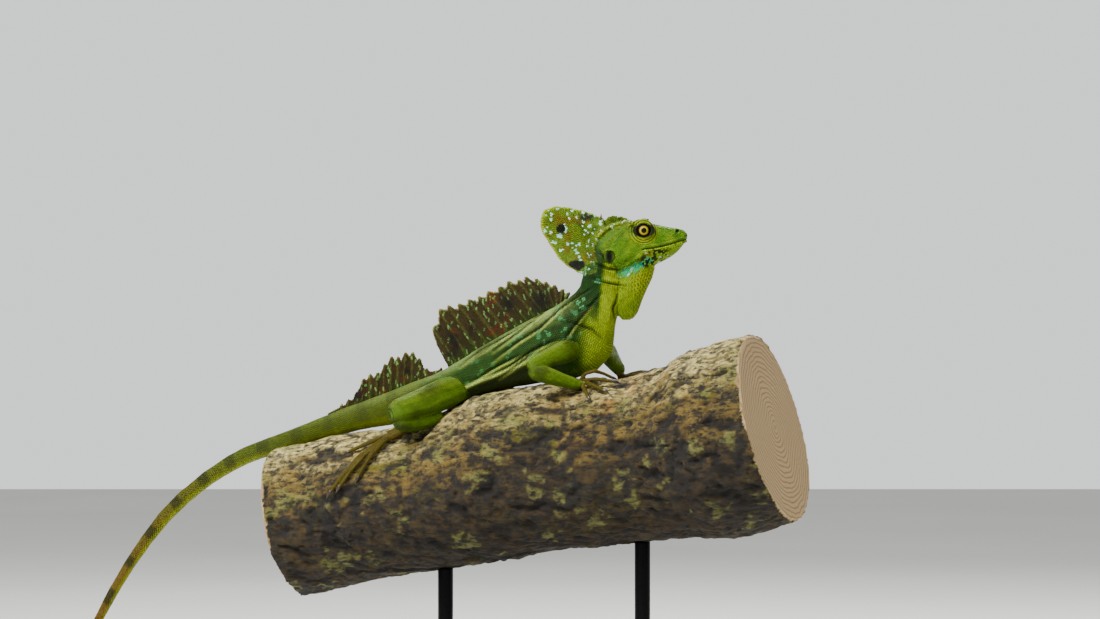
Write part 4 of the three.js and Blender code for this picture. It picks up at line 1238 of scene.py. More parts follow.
def eye_ring_sites(surface):
    """Small scales in rings on the lids and around them."""
    sites = []
    for side in (-1, 1):
        for ring, reach in enumerate(EYE_RINGS):
            count = int(2 * math.pi * reach / (0.78 + 0.02 * ring))
            for k in range(count):
                angle = (k + 0.5 * (ring % 2)) * 2 * math.pi / count
                fore, high = reach * math.cos(angle), reach * math.sin(angle)
                way = head_point(fore, high) - head_point(0, 0)
                sites += side_site(surface, fore, high, side, way / np.linalg.norm(way), 0.8 + 0.02 * ring)
    return np.array(sites)


def lip_plates(surface):
    """The larger plates along the upper and lower lip, as scale sites."""
    sites = []
    back = head_point(-1, 0) - head_point(0, 0)
    for side in (-1, 1):
        for rise, count, first, last, size in LIP_ROWS:
            for k in range(count):
                fore = first + (last - first) * k / (count - 1)
                high = float(np.interp(-fore, [-f for f, _ in MOUTH_LINE], [h for _, h in MOUTH_LINE])) + rise
                sites += side_site(surface, fore, high, side, back, size)
    return np.array(sites)


# Eyes, eardrums and claws


CLAW_SHARE = 0.8  # a claw's thickest radius as a share of its digit's
# A claw's line: ahead of the digit's tip, off the bark, and the share of its thickest radius.
CLAW_STEPS = [
    (-1.6, 0.15, 0.92),
    (-0.4, 0.32, 1.0),
    (0.8, 0.4, 0.88),
    (1.9, 0.25, 0.68),
    (2.9, -0.15, 0.46),
    (3.8, -0.7, 0.27),
    (4.6, -1.3, 0.08),
]
# The notch spine's line in the head's frame, and its radius there.
NOTCH_SPINE = [(-24.7, 10.5, 0.95), (-24.7, 12.8, 0.8), (-24.3, 15.2, 0.62), (-23.6, 17.2, 0.16)]
EARDRUM_RADIUS = 3.5
EARDRUM_STEPS = (0.5, 0.7, 0.9)  # widths of its rings, from the rim inwards


def make_eye(side):
    """An eyeball whose cornea stands a little proud."""
    centre = EYE_LEFT if side > 0 else EYE_RIGHT
    bpy.ops.mesh.primitive_uv_sphere_add(segments=64, ring_count=40, radius=EYE_RADIUS * MM)
    eye = bpy.context.view_layer.objects.active
    eye.name = eye.data.name = "eyeball_" + ("left" if side > 0 else "right")
    edit(eye, lambda: bpy.ops.transform.rotate(value=math.pi / 2, orient_axis="X", center_override=(0, 0, 0)))
    points = corners(eye)
    across = np.hypot(points[:, 0], points[:, 2])
    points[:, 1] += side * 0.5 * bell(across, 0, 2.6) * (points[:, 1] * side > 0)
    points[:, 1] += side * EYE_SINK
    set_corners(eye, points + centre)
    return eye


def make_eardrum(node):
    """A thin dished disc of skin in the ear's opening."""
    centre = middle(node)
    side = 1 if centre[1] > HEAD_PLANE else -1
    bpy.ops.mesh.primitive_circle_add(vertices=48, radius=EARDRUM_RADIUS * MM, fill_type="NGON")
    drum = bpy.context.view_layer.objects.active
    drum.name = drum.data.name = node.replace("ear", "eardrum")
    edit(drum, *[lambda wide=wide: bpy.ops.mesh.inset(thickness=wide * MM) for wide in EARDRUM_STEPS])
    apply_modifier(drum, "SOLIDIFY", thickness=0.5 * MM, offset=0)
    points = corners(drum)
    reach = np.hypot(points[:, 0], points[:, 1])
    dish = 0.55 * ramp(reach, 0, 3) + 0.2 * bell(reach, 1.2, 0.5)
    turned = np.stack([points[:, 0], side * (points[:, 2] + dish - 0.1), points[:, 1]], axis=1)
    set_corners(drum, turned + centre)
    edit(drum, lambda: bpy.ops.mesh.normals_make_consistent(inside=False))
    return drum


def tube(points, radii, out, sides=12, squash=0.85):
    """A closed tapering tube along points, with its upper side towards out."""
    points = np.asarray(points, float)
    along = np.gradient(points, axis=0)
    along /= np.linalg.norm(along, axis=1)[:, None]
    side = np.cross(out, along)
    side /= np.linalg.norm(side, axis=1)[:, None]
    up = np.cross(along, side)
    angles = np.linspace(0, 2 * math.pi, sides, endpoint=False)
    rings = points[:, None] + np.asarray(radii)[:, None, None] * (
        np.cos(angles)[None, :, None] * side[:, None] + np.sin(angles)[None, :, None] * squash * up[:, None]
    )
    rows = len(points)
    corners_all = np.concatenate([rings.reshape(-1, 3), points[:1], points[-1:]])
    first, last = rows * sides, rows * sides + 1
    faces = []
    for i in range(rows - 1):
        for k in range(sides):
            n = (k + 1) % sides
            a, b, c, d = i * sides + k, i * sides + n, (i + 1) * sides + n, (i + 1) * sides + k
            faces += [(a, b, c), (a, c, d)]
    for k in range(sides):
        n = (k + 1) % sides
        faces += [(first, n, k), (last, (rows - 1) * sides + k, (rows - 1) * sides + n)]
    return corners_all, faces


def make_claws():
    """The twenty claws as one mesh: bent cones that end on the bark."""
    points, faces, total = [], [], 0
    for name in PAWS:
        _, _, digits = DIGIT_TIPS[name]
        radius = DIGIT_RADIUS[name.split("_")[0]] * CLAW_SHARE
        for number, (x, degrees, _) in enumerate(digits):
            line = LINES[LINE_NUMBER[f"{name}_digit_{number + 1}"]]
            end, ahead = line.points[-1], line.along[-1]
            out = on_perch(x, degrees, 1) - on_perch(x, degrees, 0)
            path = [end + ahead * f + out * r for f, r, _ in CLAW_STEPS]
            part, part_faces = tube(path, [radius * share for _, _, share in CLAW_STEPS], out)
            points.append(part)
            faces += [tuple(i + total for i in face) for face in part_faces]
            total += len(part)
    return mesh_piece("claws", np.concatenate(points), faces)


def make_notch_spine():
    """The small dark spine in the notch between the two head crests."""
    path = head_points([place for *place, _ in NOTCH_SPINE])
    return mesh_piece("notch_spine", *tube(path, [radius for *_, radius in NOTCH_SPINE], (0.0, 1.0, 0.0)))


# Crests and sails

SAIL_RAYS = 17  # in the sail of the back, and in the tail crest
REAR_CREST_RAYS = 13
FRONT_CREST_RAYS = 7
# Places on the sail's edge from the shoulders to the hips: the share of its root, x, and height.
SAIL_EDGE = [
    (0, 19.5, 69.5),
    (0.06, 15.5, 73.2),
    (0.14, 7.9, 77.3),
    (0.25, -3.2, 79.8),
    (0.35, -13, 79.8),
    (0.47, -24.7, 76.8),
    (0.58, -37, 70.8),
    (0.67, -45.5, 66.8),
    (0.78, -56.6, 62),
    (0.86, -65, 60.5),
    (0.915, -69, 53.5),
    (0.955, -71.5, 43.5),
    (0.985, -66.5, 33.5),
    (1, -62, 26),
]
# Places on the tail crest's edge: the share of its root and the height over the tail.
TAIL_CREST_EDGE = [
    (0, 2.5),
    (0.07, 4),
    (0.142, 9.5),
    (0.178, 15),
    (0.233, 20.5),
    (0.352, 22.5),
    (0.45, 24),
    (0.52, 20.5),
    (0.56, 17.5),
    (0.647, 18.5),
    (0.717, 13),
    (0.75, 8.5),
    (0.84, 4.5),
    (1, 2),
]
REAR_CREST_ROOT = [(-23.3, 6), (-25, 2), (-29, -4), (-33, -12), (-36, -19)]
REAR_CREST_EDGE = [(-23.3, 14), (-30.3, 19.3), (-41, 25.2), (-52, 29.2), (-60.4, 27.2), (-63.9, 18)]
REAR_CREST_EDGE += [(-61, 6.5), (-56, -6), (-49, -14), (-43, -19)]
FRONT_CREST_TOP = [(0, 7.6), (0.15, 10.6), (0.45, 13.4), (0.8, 14.4), (1, 12.8)]


def through(table, wanted):
    """Smooth values at shares of the way, from rows of a share and its values."""
    shares, *columns = np.array(table, float).T
    return np.stack([BodyLine.smooth(shares, column, wanted) for column in columns], axis=1)


def evenly(places, wanted):
    """Smooth places at shares of the way through a list of places."""
    shares = np.linspace(0, 1, len(places))
    return through([(share, *place) for share, place in zip(shares, places)], wanted)


def back_points(surface, marks):
    """Points of the back's mid line, at millimetres from the vent towards the nape, and the way up there."""
    found, ups = [], []
    for mark in marks:
        line = LINES[LINE_NUMBER["trunk" if mark > 0 else "tail"]]
        i = int(np.clip(round(abs(mark)), 0, len(line.points) - 1))
        up = line.up[i]
        hit = surface.hit(line.points[i] + up * 60, -up)
        found.append(np.array(hit[0]) if hit else line.points[i] + up * line.tall[i])
        ups.append(up)
    return np.array(found), np.array(ups)


class Vane:
    """A thin plate between a root line and an edge line, held by rays."""

    def __init__(self, root, edge, rays, rows, side, web, ridge, notch, spike, sag=0.35, taper=0.6):
        per_ray = (len(root) - 1) // (rays - 1)
        columns = (rays - 1) * per_ray + 1
        self.u = np.linspace(0, 1, columns)
        place = self.u * (rays - 1)
        nearest = np.round(place)
        long = np.linalg.norm(edge - root, axis=1)
        away = np.abs(place - nearest)
        dip = notch * ramp(away, 0.02, 0.4) + spike * scatter(np.stack([nearest] * 3, axis=1), 4)
        ragged = scatter(np.stack([np.arange(columns)] * 3, axis=1), 14) - 0.5
        dip += 0.4 * notch * ragged * ramp(away, 0.1, 0.3)
        share = 1 - np.minimum(dip, 0.32 * long) / long
        self.v = np.linspace(0, 1, rows)
        v = self.v[None, :, None]
        self.places = root[:, None] + (edge - root)[:, None] * (v * share[:, None, None])
        self.side = np.asarray(side, float)
        gap = away * np.linalg.norm(np.gradient(edge, axis=0), axis=1) * per_ray
        self.ray = np.exp(-((gap[:, None] / 0.8) ** 2)) * np.ones(rows)
        self.height = long[:, None] * share[:, None] * self.v
        beads = 0.5 + 0.5 * np.cos(self.height * 2 * math.pi / 1.5)
        wave = np.sin(place * math.pi)[:, None] * np.sin(self.v * 3)[None]
        self.places = self.places + (wave * sag)[:, :, None] * self.side
        lumps = cloud(self.places.reshape(-1, 3), 1.1, 8).reshape(self.ray.shape)
        self.half = (web + ridge * self.ray + 0.1 * beads * (0.4 + self.ray)) * (1 - taper * self.v)
        self.half += 0.1 * lumps * (1 - taper * self.v)

    def build(self, name):
        n, m = self.half.shape
        offset = self.half[:, :, None] * self.side
        points = np.concatenate([self.places - offset, self.places + offset]).reshape(-1, 3)
        grid = np.arange(n * m).reshape(n, m)
        a, b, c, d = grid[:-1, :-1], grid[1:, :-1], grid[1:, 1:], grid[:-1, 1:]
        near = np.stack([a, b, c, d], axis=-1).reshape(-1, 4)
        far = np.stack([a, d, c, b], axis=-1).reshape(-1, 4) + n * m
        border = np.concatenate([grid[:, 0], grid[-1, 1:], grid[-2::-1, -1], grid[0, -2:0:-1]])
        after = np.roll(border, -1)
        rim = np.stack([border, border + n * m, after + n * m, after], axis=-1)
        flat = np.stack(np.meshgrid(self.u, self.v, indexing="ij"), axis=-1).reshape(-1, 2)
        uv = np.concatenate([flat * (0.96, 0.46) + (0.02, 0.02), flat * (0.96, 0.46) + (0.02, 0.52)])
        piece = mesh_piece(name, points, np.concatenate([near, far, rim]), uv)
        edit(piece, lambda: bpy.ops.mesh.normals_make_consistent(inside=False))
        return piece

    def sites(self, surface, pitch):
        """Scales in rows side by side on both faces, and on the skin where that covers the vane."""
        found = []
        n, m = self.half.shape
        rows = int(self.height[:, -1].max() / (pitch * 0.86))
        for row in range(rows):
            j = (row + 0.6) / rows * (m - 1.6)
            low, part = int(j), j - int(j)
            line = self.places[:, low] * (1 - part) + self.places[:, low + 1] * part
            marks = np.concatenate([[0], np.cumsum(np.linalg.norm(np.diff(line, axis=0), axis=1))])
            count = int(marks[-1] / pitch)
            wanted = (np.arange(count) + 0.25 + 0.5 * (row % 2)) * marks[-1] / max(count, 1)
            for i in np.interp(wanted, marks, np.arange(n)):
                first = min(int(i), n - 2)
                at = line[first] * (first + 1 - i) + line[first + 1] * (i - first)
                half = self.half[first, low]
                out = self.places[first, low + 1] - self.places[first, low]
                out /= np.linalg.norm(out)
                for face in (-1, 1):
                    where, normal = at + self.side * face * (half - 0.12), self.side * face
                    hit = surface.hit(at + normal * 25, -normal, 25)
                    if hit is not None and np.dot(np.array(hit[0]) - at, normal) > 9:
                        continue
                    if hit is not None and np.dot(np.array(hit[0]) - where, normal) > 0:
                        where, normal = np.array(hit[0]), surface.normals[hit[1]]
                    uv = (0.02 + 0.96 * self.u[first], (0.02 if face < 0 else 0.52) + 0.46 * j / (m - 1))
                    found.append((*where, *normal, *out, pitch, self.ray[first, low], *uv))
        found = np.array(found)
        cells = np.floor(found[:, :3] / (pitch * 0.5)).astype(int)
        _, first = np.unique(cells, axis=0, return_index=True)
        return found[np.sort(first)]


def sail_side():
    return np.array([math.sin(BODY_TURN), math.cos(BODY_TURN), 0.0])


EVENED_REACH = 6


def even_shares(rays, per_ray):
    return np.linspace(0, 1, (rays - 1) * per_ray + 1)


def evened(places):
    """Places along a line, each made the mean of those round it."""
    count = 2 * EVENED_REACH + 1
    share = np.ones(count) / count
    columns = [np.convolve(np.pad(column, EVENED_REACH, "edge"), share, "valid") for column in places.T]
    return np.stack(columns, axis=1)


def sail_vane(surface):
    """The sail of the back. Its rays stand closer together towards the hips."""
    u = even_shares(SAIL_RAYS, 12)
    back, ups = back_points(surface, 111 + (9 - 111) * u**1.45)
    flat = through(SAIL_EDGE, u)
    aside = 22 - math.tan(BODY_TURN) * (flat[:, 0] + 58)
    edge = np.stack([flat[:, 0], aside, flat[:, 1] + LEVEL], axis=1)
    root = evened(back) - ups * 2.2
    form = {"web": 0.42, "ridge": 0.5, "notch": 2.9, "spike": 2.4}
    return Vane(root, edge, SAIL_RAYS, 56, sail_side(), **form)


def tail_vane(surface):
    u = even_shares(SAIL_RAYS, 10)
    back, _ = back_points(surface, 4 + (-86 - 4) * u)
    root = evened(back)
    height = through(TAIL_CREST_EDGE, u)[:, 0]
    edge = root + np.stack([0 * u, 0 * u, height], axis=1)
    form = {"web": 0.42, "ridge": 0.45, "notch": 2.9, "spike": 2.0}
    return Vane(root - (0, 0, 2), edge, SAIL_RAYS, 30, sail_side(), **form)


def rear_crest_vane():
    u = even_shares(REAR_CREST_RAYS, 12)
    edge = head_points(evenly(REAR_CREST_EDGE, u), 2.2 * np.sin(math.pi * u))
    root = head_points(evenly(REAR_CREST_ROOT, u))
    form = {"web": 0.62, "ridge": 0.3, "notch": 0.5, "spike": 0.4, "sag": 0.2}
    return Vane(root, edge, REAR_CREST_RAYS, 48, (0, 1, 0), **form)


def front_crest_vane():
    u = even_shares(FRONT_CREST_RAYS, 12)
    fore = -6.2 - 16.2 * u
    edge = head_points(np.stack([fore, through(FRONT_CREST_TOP, u)[:, 0]], axis=1))
    root = head_points(np.stack([fore, 3.4 + 0 * u], axis=1))
    form = {"web": 0.55, "ridge": 0.25, "notch": 0.6, "spike": 0.3, "sag": 0.1}
    return Vane(root, edge, FRONT_CREST_RAYS, 20, (0, 1, 0), **form)


FIN = {
    "tan": "#6a5a1c",
    "web": "#41381a",
    "web_low": "#3c4716",
    "red": "#693217",
    "dash": "#7d9a6c",
    "tip": "#a9a878",
    "black": "#0b0b06",
    "rear": "#66751a",
    "rear_edge": "#c0c878",
    "pale": "#b6dccb",
}
FIN = {name: linear(code) for name, code in FIN.items()}


def sail_paint(points, v, ray):
    """Olive brown web with rusty patches, upright dashes of pale green, and dark blotches."""
    n = len(points)
    blotch = rough(points, 11, 41, 3)
    colour = np.tile(FIN["web"], (n, 1))
    colour = mix(colour, FIN["web_low"], ramp(v, 0.4, 0.0))
    colour = mix(colour, FIN["red"], 0.5 * ramp(rough(points, 8, 43, 2), 0.15, 0.6))
    x, z = points[:, 0], points[:, 2] - LEVEL
    dash, which = spots(points, 3.1, 45, np.diag([1.3, 1.3, 0.62]))
    colour = mix(colour, FIN["dash"], 0.85 * (dash < 0.3) * (which > 0.35))
    colour = mix(colour, FIN["dash"], 0.12 * ramp(ray, 0.3, 0.8))
    colour = mix(colour, FIN["black"], 0.7 * ramp(blotch, 0.25, 0.55))
    spot_near = bell(np.hypot(x - 1, (z - 64) * 0.8), 0, 6) + bell(np.hypot(x + 20, z - 62), 0, 5)
    colour = mix(colour, FIN["black"], 0.85 * np.clip(spot_near, 0, 1))
    colour = mix(colour, FIN["black"], 0.3 * ramp(ray, 0.25, 0.0))
    return deepen(mix(colour, FIN["tip"], 0.6 * ramp(v, 0.94, 0.995)))


def crest_paint(points, v, ray):
    """Olive green with scattered pale spots, black blotches and a light edge."""
    n = len(points)
    fore, high, _ = head_frame(points)
    colour = np.tile(FIN["rear"], (n, 1))
    colour = mix(colour, GREENS["neck_back"], 0.7 * ramp(rough(points, 7, 51, 3), 0, 0.5))
    colour = mix(colour, FIN["tan"], 0.6 * ramp(rough(points, 6, 57, 2), 0.05, 0.4))
    near, which = spots(points, 3.2, 53)
    colour = mix(colour, FIN["pale"], 0.9 * (near < 0.33) * (which > 0.3) * ramp(v, 0.02, 0.2))
    ragged = 1.6 * rough(points, 4, 55, 2)
    blots = ramp(np.hypot(fore + 51.3, high - 13.8) + ragged, 3.6, 2.6)
    blots += ramp(np.hypot((fore + 46.8) * 0.8, high + 11.3) + ragged, 4.4, 3.2)
    blots += 0.75 * ramp(np.hypot((fore + 33) * 0.45, high - 17.5) + ragged, 3.0, 1.6)
    colour = mix(colour, FIN["black"], 0.97 * np.clip(blots, 0, 1))
    return deepen(mix(colour, FIN["rear_edge"], 0.6 * ramp(v, 0.92, 0.99)))


def dress_vane(surface, vane, name, painter, node, material, pitch, slot):
    """Builds a vane with its scales, both painted alike."""
    web = vane.build(name)
    n, m = vane.half.shape
    v = np.tile(np.broadcast_to(vane.v, (n, m)).ravel(), 2)
    ray = np.tile(vane.ray.ravel(), 2)
    # The web is darkened with painted shade where it shows between the scales.
    set_paint(web, painter(corners(web), v, ray) * UNDER_FIN_SCALES)
    give(web, material)
    finish_piece(web, slot, node)
    sites = vane.sites(surface, pitch)
    v_place = (sites[:, 12] - np.where(sites[:, 12] > 0.5, 0.52, 0.02)) / 0.46
    colours = painter(sites[:, :3], v_place, sites[:, 10])
    coat_of(name + "_scales", sites, "keeled", colours, material, slot=slot, lift=0.75)


# The perch and its stand


def make_perch(voxel):
    """The branch with cracked bark, quieter where the animal lies on it."""
    perch = node_copy("perch")
    perch.name = "branch"
    apply_modifier(perch, "REMESH", mode="VOXEL", voxel_size=voxel * MM)
    relax(perch, 6, np.ones(len(perch.data.vertices)))
    points, normals = corners(perch), corner_normals(perch)
    ends = sawn_share(points)
    along = branch_along(points)
    turned = np.stack([along * 0.35, points[:, 1], points[:, 2]], axis=1)
    plates, which = spots(turned, 7.5, 61)
    fissure = rough(turned, 8, 63, 4)
    height = 0.7 * rough(points, 26, 65, 3) + 0.8 * (which - 0.5) - 2.2 * ramp(fissure, 0.2, 0.45)
    height -= 1.0 * ramp(plates, 0.6, 0.85)
    height += 0.95 * rough(points, 4.6, 67, 3) - 0.8 * ramp(rough(points, 3.6, 73, 2), 0.15, 0.4)
    touch = contact(points)
    height = np.minimum(height, 0.1) * touch + height * (1 - touch)
    height = np.where(ends > 0.5, 0.12 * rough(points, 4, 69, 2), height)
    set_corners(perch, points + normals * height[:, None])
    set_paint(perch, bark_paint(points, normals, fissure, plates, ends))
    return perch


def branch_ends():
    first = perch_frame(PERCH_AXIS[0][0])[0]
    last = perch_frame(PERCH_AXIS[-1][0])[0]
    return first, (last - first) / np.linalg.norm(last - first)


def branch_along(points):
    first, along = branch_ends()
    return (points - first) @ along


def sawn_share(points):
    """1 on the two sawn ends and 0 elsewhere."""
    share = np.zeros(len(points))
    for x in (PERCH_AXIS[0][0], PERCH_AXIS[-1][0]):
        centre, way, _, _, radius = perch_frame(x)
        flat = np.abs((points - centre) @ way) < 1.3
        share = np.maximum(share, flat * (np.linalg.norm(points - centre, axis=1) < radius - 0.5))
    return share


def contact(points):
    """1 under the animal's paws and body, fading to 0 some millimetres off."""
    near = np.full(len(points), 1e9)
    for line in LINES:
        for at, wide in zip(line.points[::3], line.wide[::3]):
            near = np.minimum(near, np.linalg.norm(points - at, axis=1) - wide)
    return ramp(near, 6, 2.5)


BARK = {
    "bark": "#807148",
    "sunlit": "#ded3a4",
    # Brown: the bark's own brown patches, and the colour of the painted shade below.
    "brown": "#3b2f12",
    # Crack: painted shade in the sunk fissures, and fine dark mottling.
    "crack": "#1e170d",
    # Moss below, which also stands in for painted shade.
    "moss_and_shade": "#687226",
    "ochre": "#a9793a",
    "lichen": "#93966a",
    "sawn": "#c9a874",
}
BARK = {name: linear(code) for name, code in BARK.items()}


def bark_paint(points, normals, fissure, plates, ends):
    """Brown bark with a painted highlight on top, greener and darker below with painted shade, and darkest
    with painted shade in its cracks.
    """
    n = len(points)
    patch = rough(points, 24, 71, 4)
    fine = rough(points, 5, 73, 3)
    colour = np.tile(BARK["bark"], (n, 1))
    # Brown patches, more of them on the lower faces, where they are partly painted shade.
    colour = mix(colour, BARK["brown"], 0.8 * ramp(patch + 0.5 * fine - 0.5 * normals[:, 2], 0.0, 0.5))
    # A painted highlight on the upper faces.
    colour = mix(colour, BARK["sunlit"], 0.85 * ramp(normals[:, 2] + 0.5 * fine, 0.35, 0.95))
    # Moss on the lower and side faces, partly standing in for painted shade.
    moss_and_shade_below = ramp(rough(points, 19, 75, 3), 0.1, 0.4) * ramp(normals[:, 2], 0.8, 0.2)
    colour = mix(colour, BARK["moss_and_shade"], 0.6 * moss_and_shade_below)
    warm = bell(points[:, 0], 40, 26) * ramp(normals[:, 2], 0.3, 0.8)
    colour = mix(colour, BARK["ochre"], (0.04 + 0.5 * warm) * ramp(rough(points, 11, 77, 3), 0.0, 0.4))
    # Painted shade: brown on the undersides.
    colour = mix(colour, BARK["brown"], 0.85 * ramp(normals[:, 2] + 0.45 * patch, 0.4, -0.2))
    lichen, which = spots(points, 21, 81)
    colour = mix(colour, BARK["lichen"], 0.55 * ramp(lichen + 0.8 * fine, 0.36, 0.16) * (which > 0.4))
    # Painted shade in the sunk fissures and between the bark plates.
    dark = np.maximum(ramp(fissure, 0.2, 0.42), ramp(plates, 0.66, 0.85) * 0.8)
    colour = mix(colour, BARK["crack"], 0.85 * dark)
    pits, _ = spots(points, 3.4, 79)
    colour = mix(colour, BARK["crack"], 0.75 * ramp(fine, 0.12, 0.32))
    colour = mix(colour, BARK["brown"], 0.7 * ramp(pits, 0.35, 0.2) * ramp(fine, -0.3, 0.1))
    return mix(deepen(colour, 1.3, 1.3), BARK["sawn"], ends)


def bark_material():
    """Weathered bark: dry and matt, with a grain of about 3 mm. Its large patches are painted on it."""
    r = Recipe("weathered_bark")
    place = r.add("ShaderNodeTexCoord").outputs["Object"]
    paint_colour = r.add("ShaderNodeAttribute", {"attribute_name": "paint"}).outputs["Color"]
    turned = r.add("ShaderNodeMapping", Vector=place, Rotation=(0, 0, PERCH_TURN)).outputs[0]
    stretched = r.add("ShaderNodeMapping", Vector=turned, Scale=(0.4, 1, 1)).outputs[0]
    grain = r.add("ShaderNodeTexNoise", Vector=stretched, Scale=330.0, Detail=7.0, Roughness=0.75)
    grain = grain.outputs["Fac"]
    # Painted shade in the grain's pits and a painted highlight on its tops, following the bump.
    shade = r.ramp(grain, [(0.42, grey(0.1)), (0.49, grey(0.7)), (0.57, grey(1.05)), (0.7, grey(1.45))])
    tint = r.add("ShaderNodeMix", MULTIPLY_COLOURS, i0=1.0, i6=paint_colour, i7=shade)
    first, along = branch_ends()
    start, axis = tuple(first * MM), tuple(float(a) for a in along)
    shift = r.add("ShaderNodeVectorMath", {"operation": "SUBTRACT"}, i0=place, i1=start).outputs[0]
    ahead = r.add("ShaderNodeVectorMath", {"operation": "DOT_PRODUCT"}, i0=shift, i1=axis).outputs["Value"]
    foot = r.add("ShaderNodeVectorMath", {"operation": "SCALE"}, i0=axis, Scale=ahead).outputs[0]
    across = r.add("ShaderNodeVectorMath", {"operation": "SUBTRACT"}, i0=shift, i1=foot).outputs[0]
    reach = r.add("ShaderNodeVectorMath", {"operation": "LENGTH"}, i0=across).outputs["Value"]
    wobble = r.add("ShaderNodeTexNoise", Vector=place, Scale=60.0, Detail=2.0).outputs["Fac"]
    bent = r.add("ShaderNodeMath", {"operation": "MULTIPLY_ADD"}, i0=wobble, i1=0.006, i2=reach).outputs[0]
    turns = r.add("ShaderNodeMath", {"operation": "MULTIPLY"}, i0=bent, i1=2 * math.pi / 0.0032).outputs[0]
    rings = r.add("ShaderNodeMath", {"operation": "SINE"}, i0=turns).outputs[0]
    wood = r.ramp(rings, [(0.0, rgba("#bfa274")), (0.55, rgba("#b3935f")), (0.95, rgba("#97774b"))])
    sawn = r.add("ShaderNodeAttribute", {"attribute_name": "sawn"}).outputs["Fac"]
    both = r.add("ShaderNodeMix", {"data_type": "RGBA"}, i0=sawn, i6=tint.outputs[2], i7=wood)
    bump = r.add("ShaderNodeBump", Height=grain, Distance=0.0032, Strength=1.0)
    r.set(Base_Color=both.outputs[2], Roughness=0.92, Normal=bump.outputs["Normal"])
    return r.material


def set_number(piece, values, name):
    layer = piece.data.attributes.new(name=name, type="FLOAT", domain="POINT")
    layer.data.foreach_set("value", np.asarray(values, np.float32))


def eye_material(iris, rim):
    """A moist eye under a clear cornea: a round pupil, a streaked iris and a dark outer ring."""
    r = Recipe("moist_eye")
    place = r.add("ShaderNodeTexCoord").outputs["Object"]
    centre = (EYE_RIGHT[0] * MM, 0, EYE_RIGHT[2] * MM)
    shift = r.add("ShaderNodeVectorMath", {"operation": "SUBTRACT"}, i0=place, i1=centre).outputs[0]
    flat = r.add("ShaderNodeVectorMath", {"operation": "MULTIPLY"}, i0=shift, i1=(1, 0, 1)).outputs[0]
    reach = r.add("ShaderNodeVectorMath", {"operation": "LENGTH"}, i0=flat).outputs["Value"]
    way = r.add("ShaderNodeVectorMath", {"operation": "NORMALIZE"}, i0=flat).outputs[0]
    streak = r.add("ShaderNodeTexNoise", Vector=way, Scale=9.0, Detail=4.0).outputs["Fac"]
    sway = r.add("ShaderNodeMath", {"operation": "MULTIPLY_ADD"}, i0=streak, i1=0.0007, i2=reach).outputs[0]
    share = r.add("ShaderNodeMath", {"operation": "DIVIDE"}, i0=sway, i1=0.0045).outputs[0]
    black = (0.004, 0.004, 0.003, 1)
    stops = [(0.0, black), (0.46, black), (0.5, rgba("#a6a000")), (0.62, iris), (0.73, rim), (0.8, black)]
    colour = r.ramp(share, stops)
    r.set(Base_Color=colour, Roughness=0.3, IOR=1.38, Specular_IOR_Level=0.08)
    r.set(Coat_Weight=0.07, Coat_Roughness=0.02)
    return r.material


def eardrum_material():
    """Thin skin over the ear, green at its rim, and dark with painted shade where the ear opens in an upright
    slit.
    """
    r = Recipe("eardrum_skin")
    place = r.add("ShaderNodeTexCoord").outputs["Object"]
    x, _, z = middle("ear_right") * MM
    shift = r.add("ShaderNodeVectorMath", {"operation": "SUBTRACT"}, i0=place, i1=(x, 0, z)).outputs[0]
    slim = r.add("ShaderNodeVectorMath", {"operation": "MULTIPLY"}, i0=shift, i1=(2.1, 0, 1)).outputs[0]
    reach = r.add("ShaderNodeVectorMath", {"operation": "LENGTH"}, i0=slim).outputs["Value"]
    share = r.add("ShaderNodeMath", {"operation": "DIVIDE"}, i0=reach, i1=0.006).outputs[0]
    # The dark slit is painted shade in the ear's opening.
    stops = [(0.0, rgba("#050702")), (0.42, rgba("#070a03")), (0.6, rgba("#1b2707")), (1.0, rgba("#33480c"))]
    pits = r.add("ShaderNodeTexVoronoi", Vector=place, Scale=1100.0).outputs["Distance"]
    bump = r.add("ShaderNodeBump", Height=pits, Distance=0.0003, Strength=0.8)
    r.set(Base_Color=r.ramp(share, stops), Roughness=0.8, Specular_IOR_Level=0.1)
    r.set(Normal=bump.outputs["Normal"])
    return r.material


def plain_material(name, low, high, grain_mm, roughness, bump_mm=0.05, metallic=0.0, stretch=(1, 1, 1)):
    """A material of two close colours in a fine grain."""
    r = Recipe(name)
    place = r.add("ShaderNodeTexCoord").outputs["Object"]
    scaled = r.add("ShaderNodeMapping", Vector=place, Scale=stretch).outputs[0]
    grain = r.add("ShaderNodeTexNoise", Vector=scaled, Scale=1000 / grain_mm, Detail=5.0).outputs["Fac"]
    colour = r.ramp(grain, [(0.35, rgba(low)), (0.65, rgba(high))])
    bump = r.add("ShaderNodeBump", Height=grain, Distance=bump_mm * MM, Strength=0.5)
    r.set(Base_Color=colour, Roughness=roughness, Metallic=metallic, Normal=bump.outputs["Normal"])
    return r.material


# The add-on's settings, operators and panel


class BasiliskAnimalSettings(bpy.types.PropertyGroup):
    skin_voxel: bpy.props.FloatProperty(
        name="Skin detail",
        description="Size of the smallest feature that the skin keeps",
        default=0.0005,
        unit="LENGTH",
    )
    scale_share: bpy.props.FloatProperty(
        name="Scale size", description="Size of the scales, as a share of the life-size ones", default=1.0
    )
    iris: bpy.props.FloatVectorProperty(
        name="Iris", description="Colour of the iris", subtype="COLOR", size=4, default=rgba("#958600")
    )
    iris_rim: bpy.props.FloatVectorProperty(
        name="Iris rim",
        description="Colour of the iris at its rim",
        subtype="COLOR",
        size=4,
        default=rgba("#6a4600"),
    )


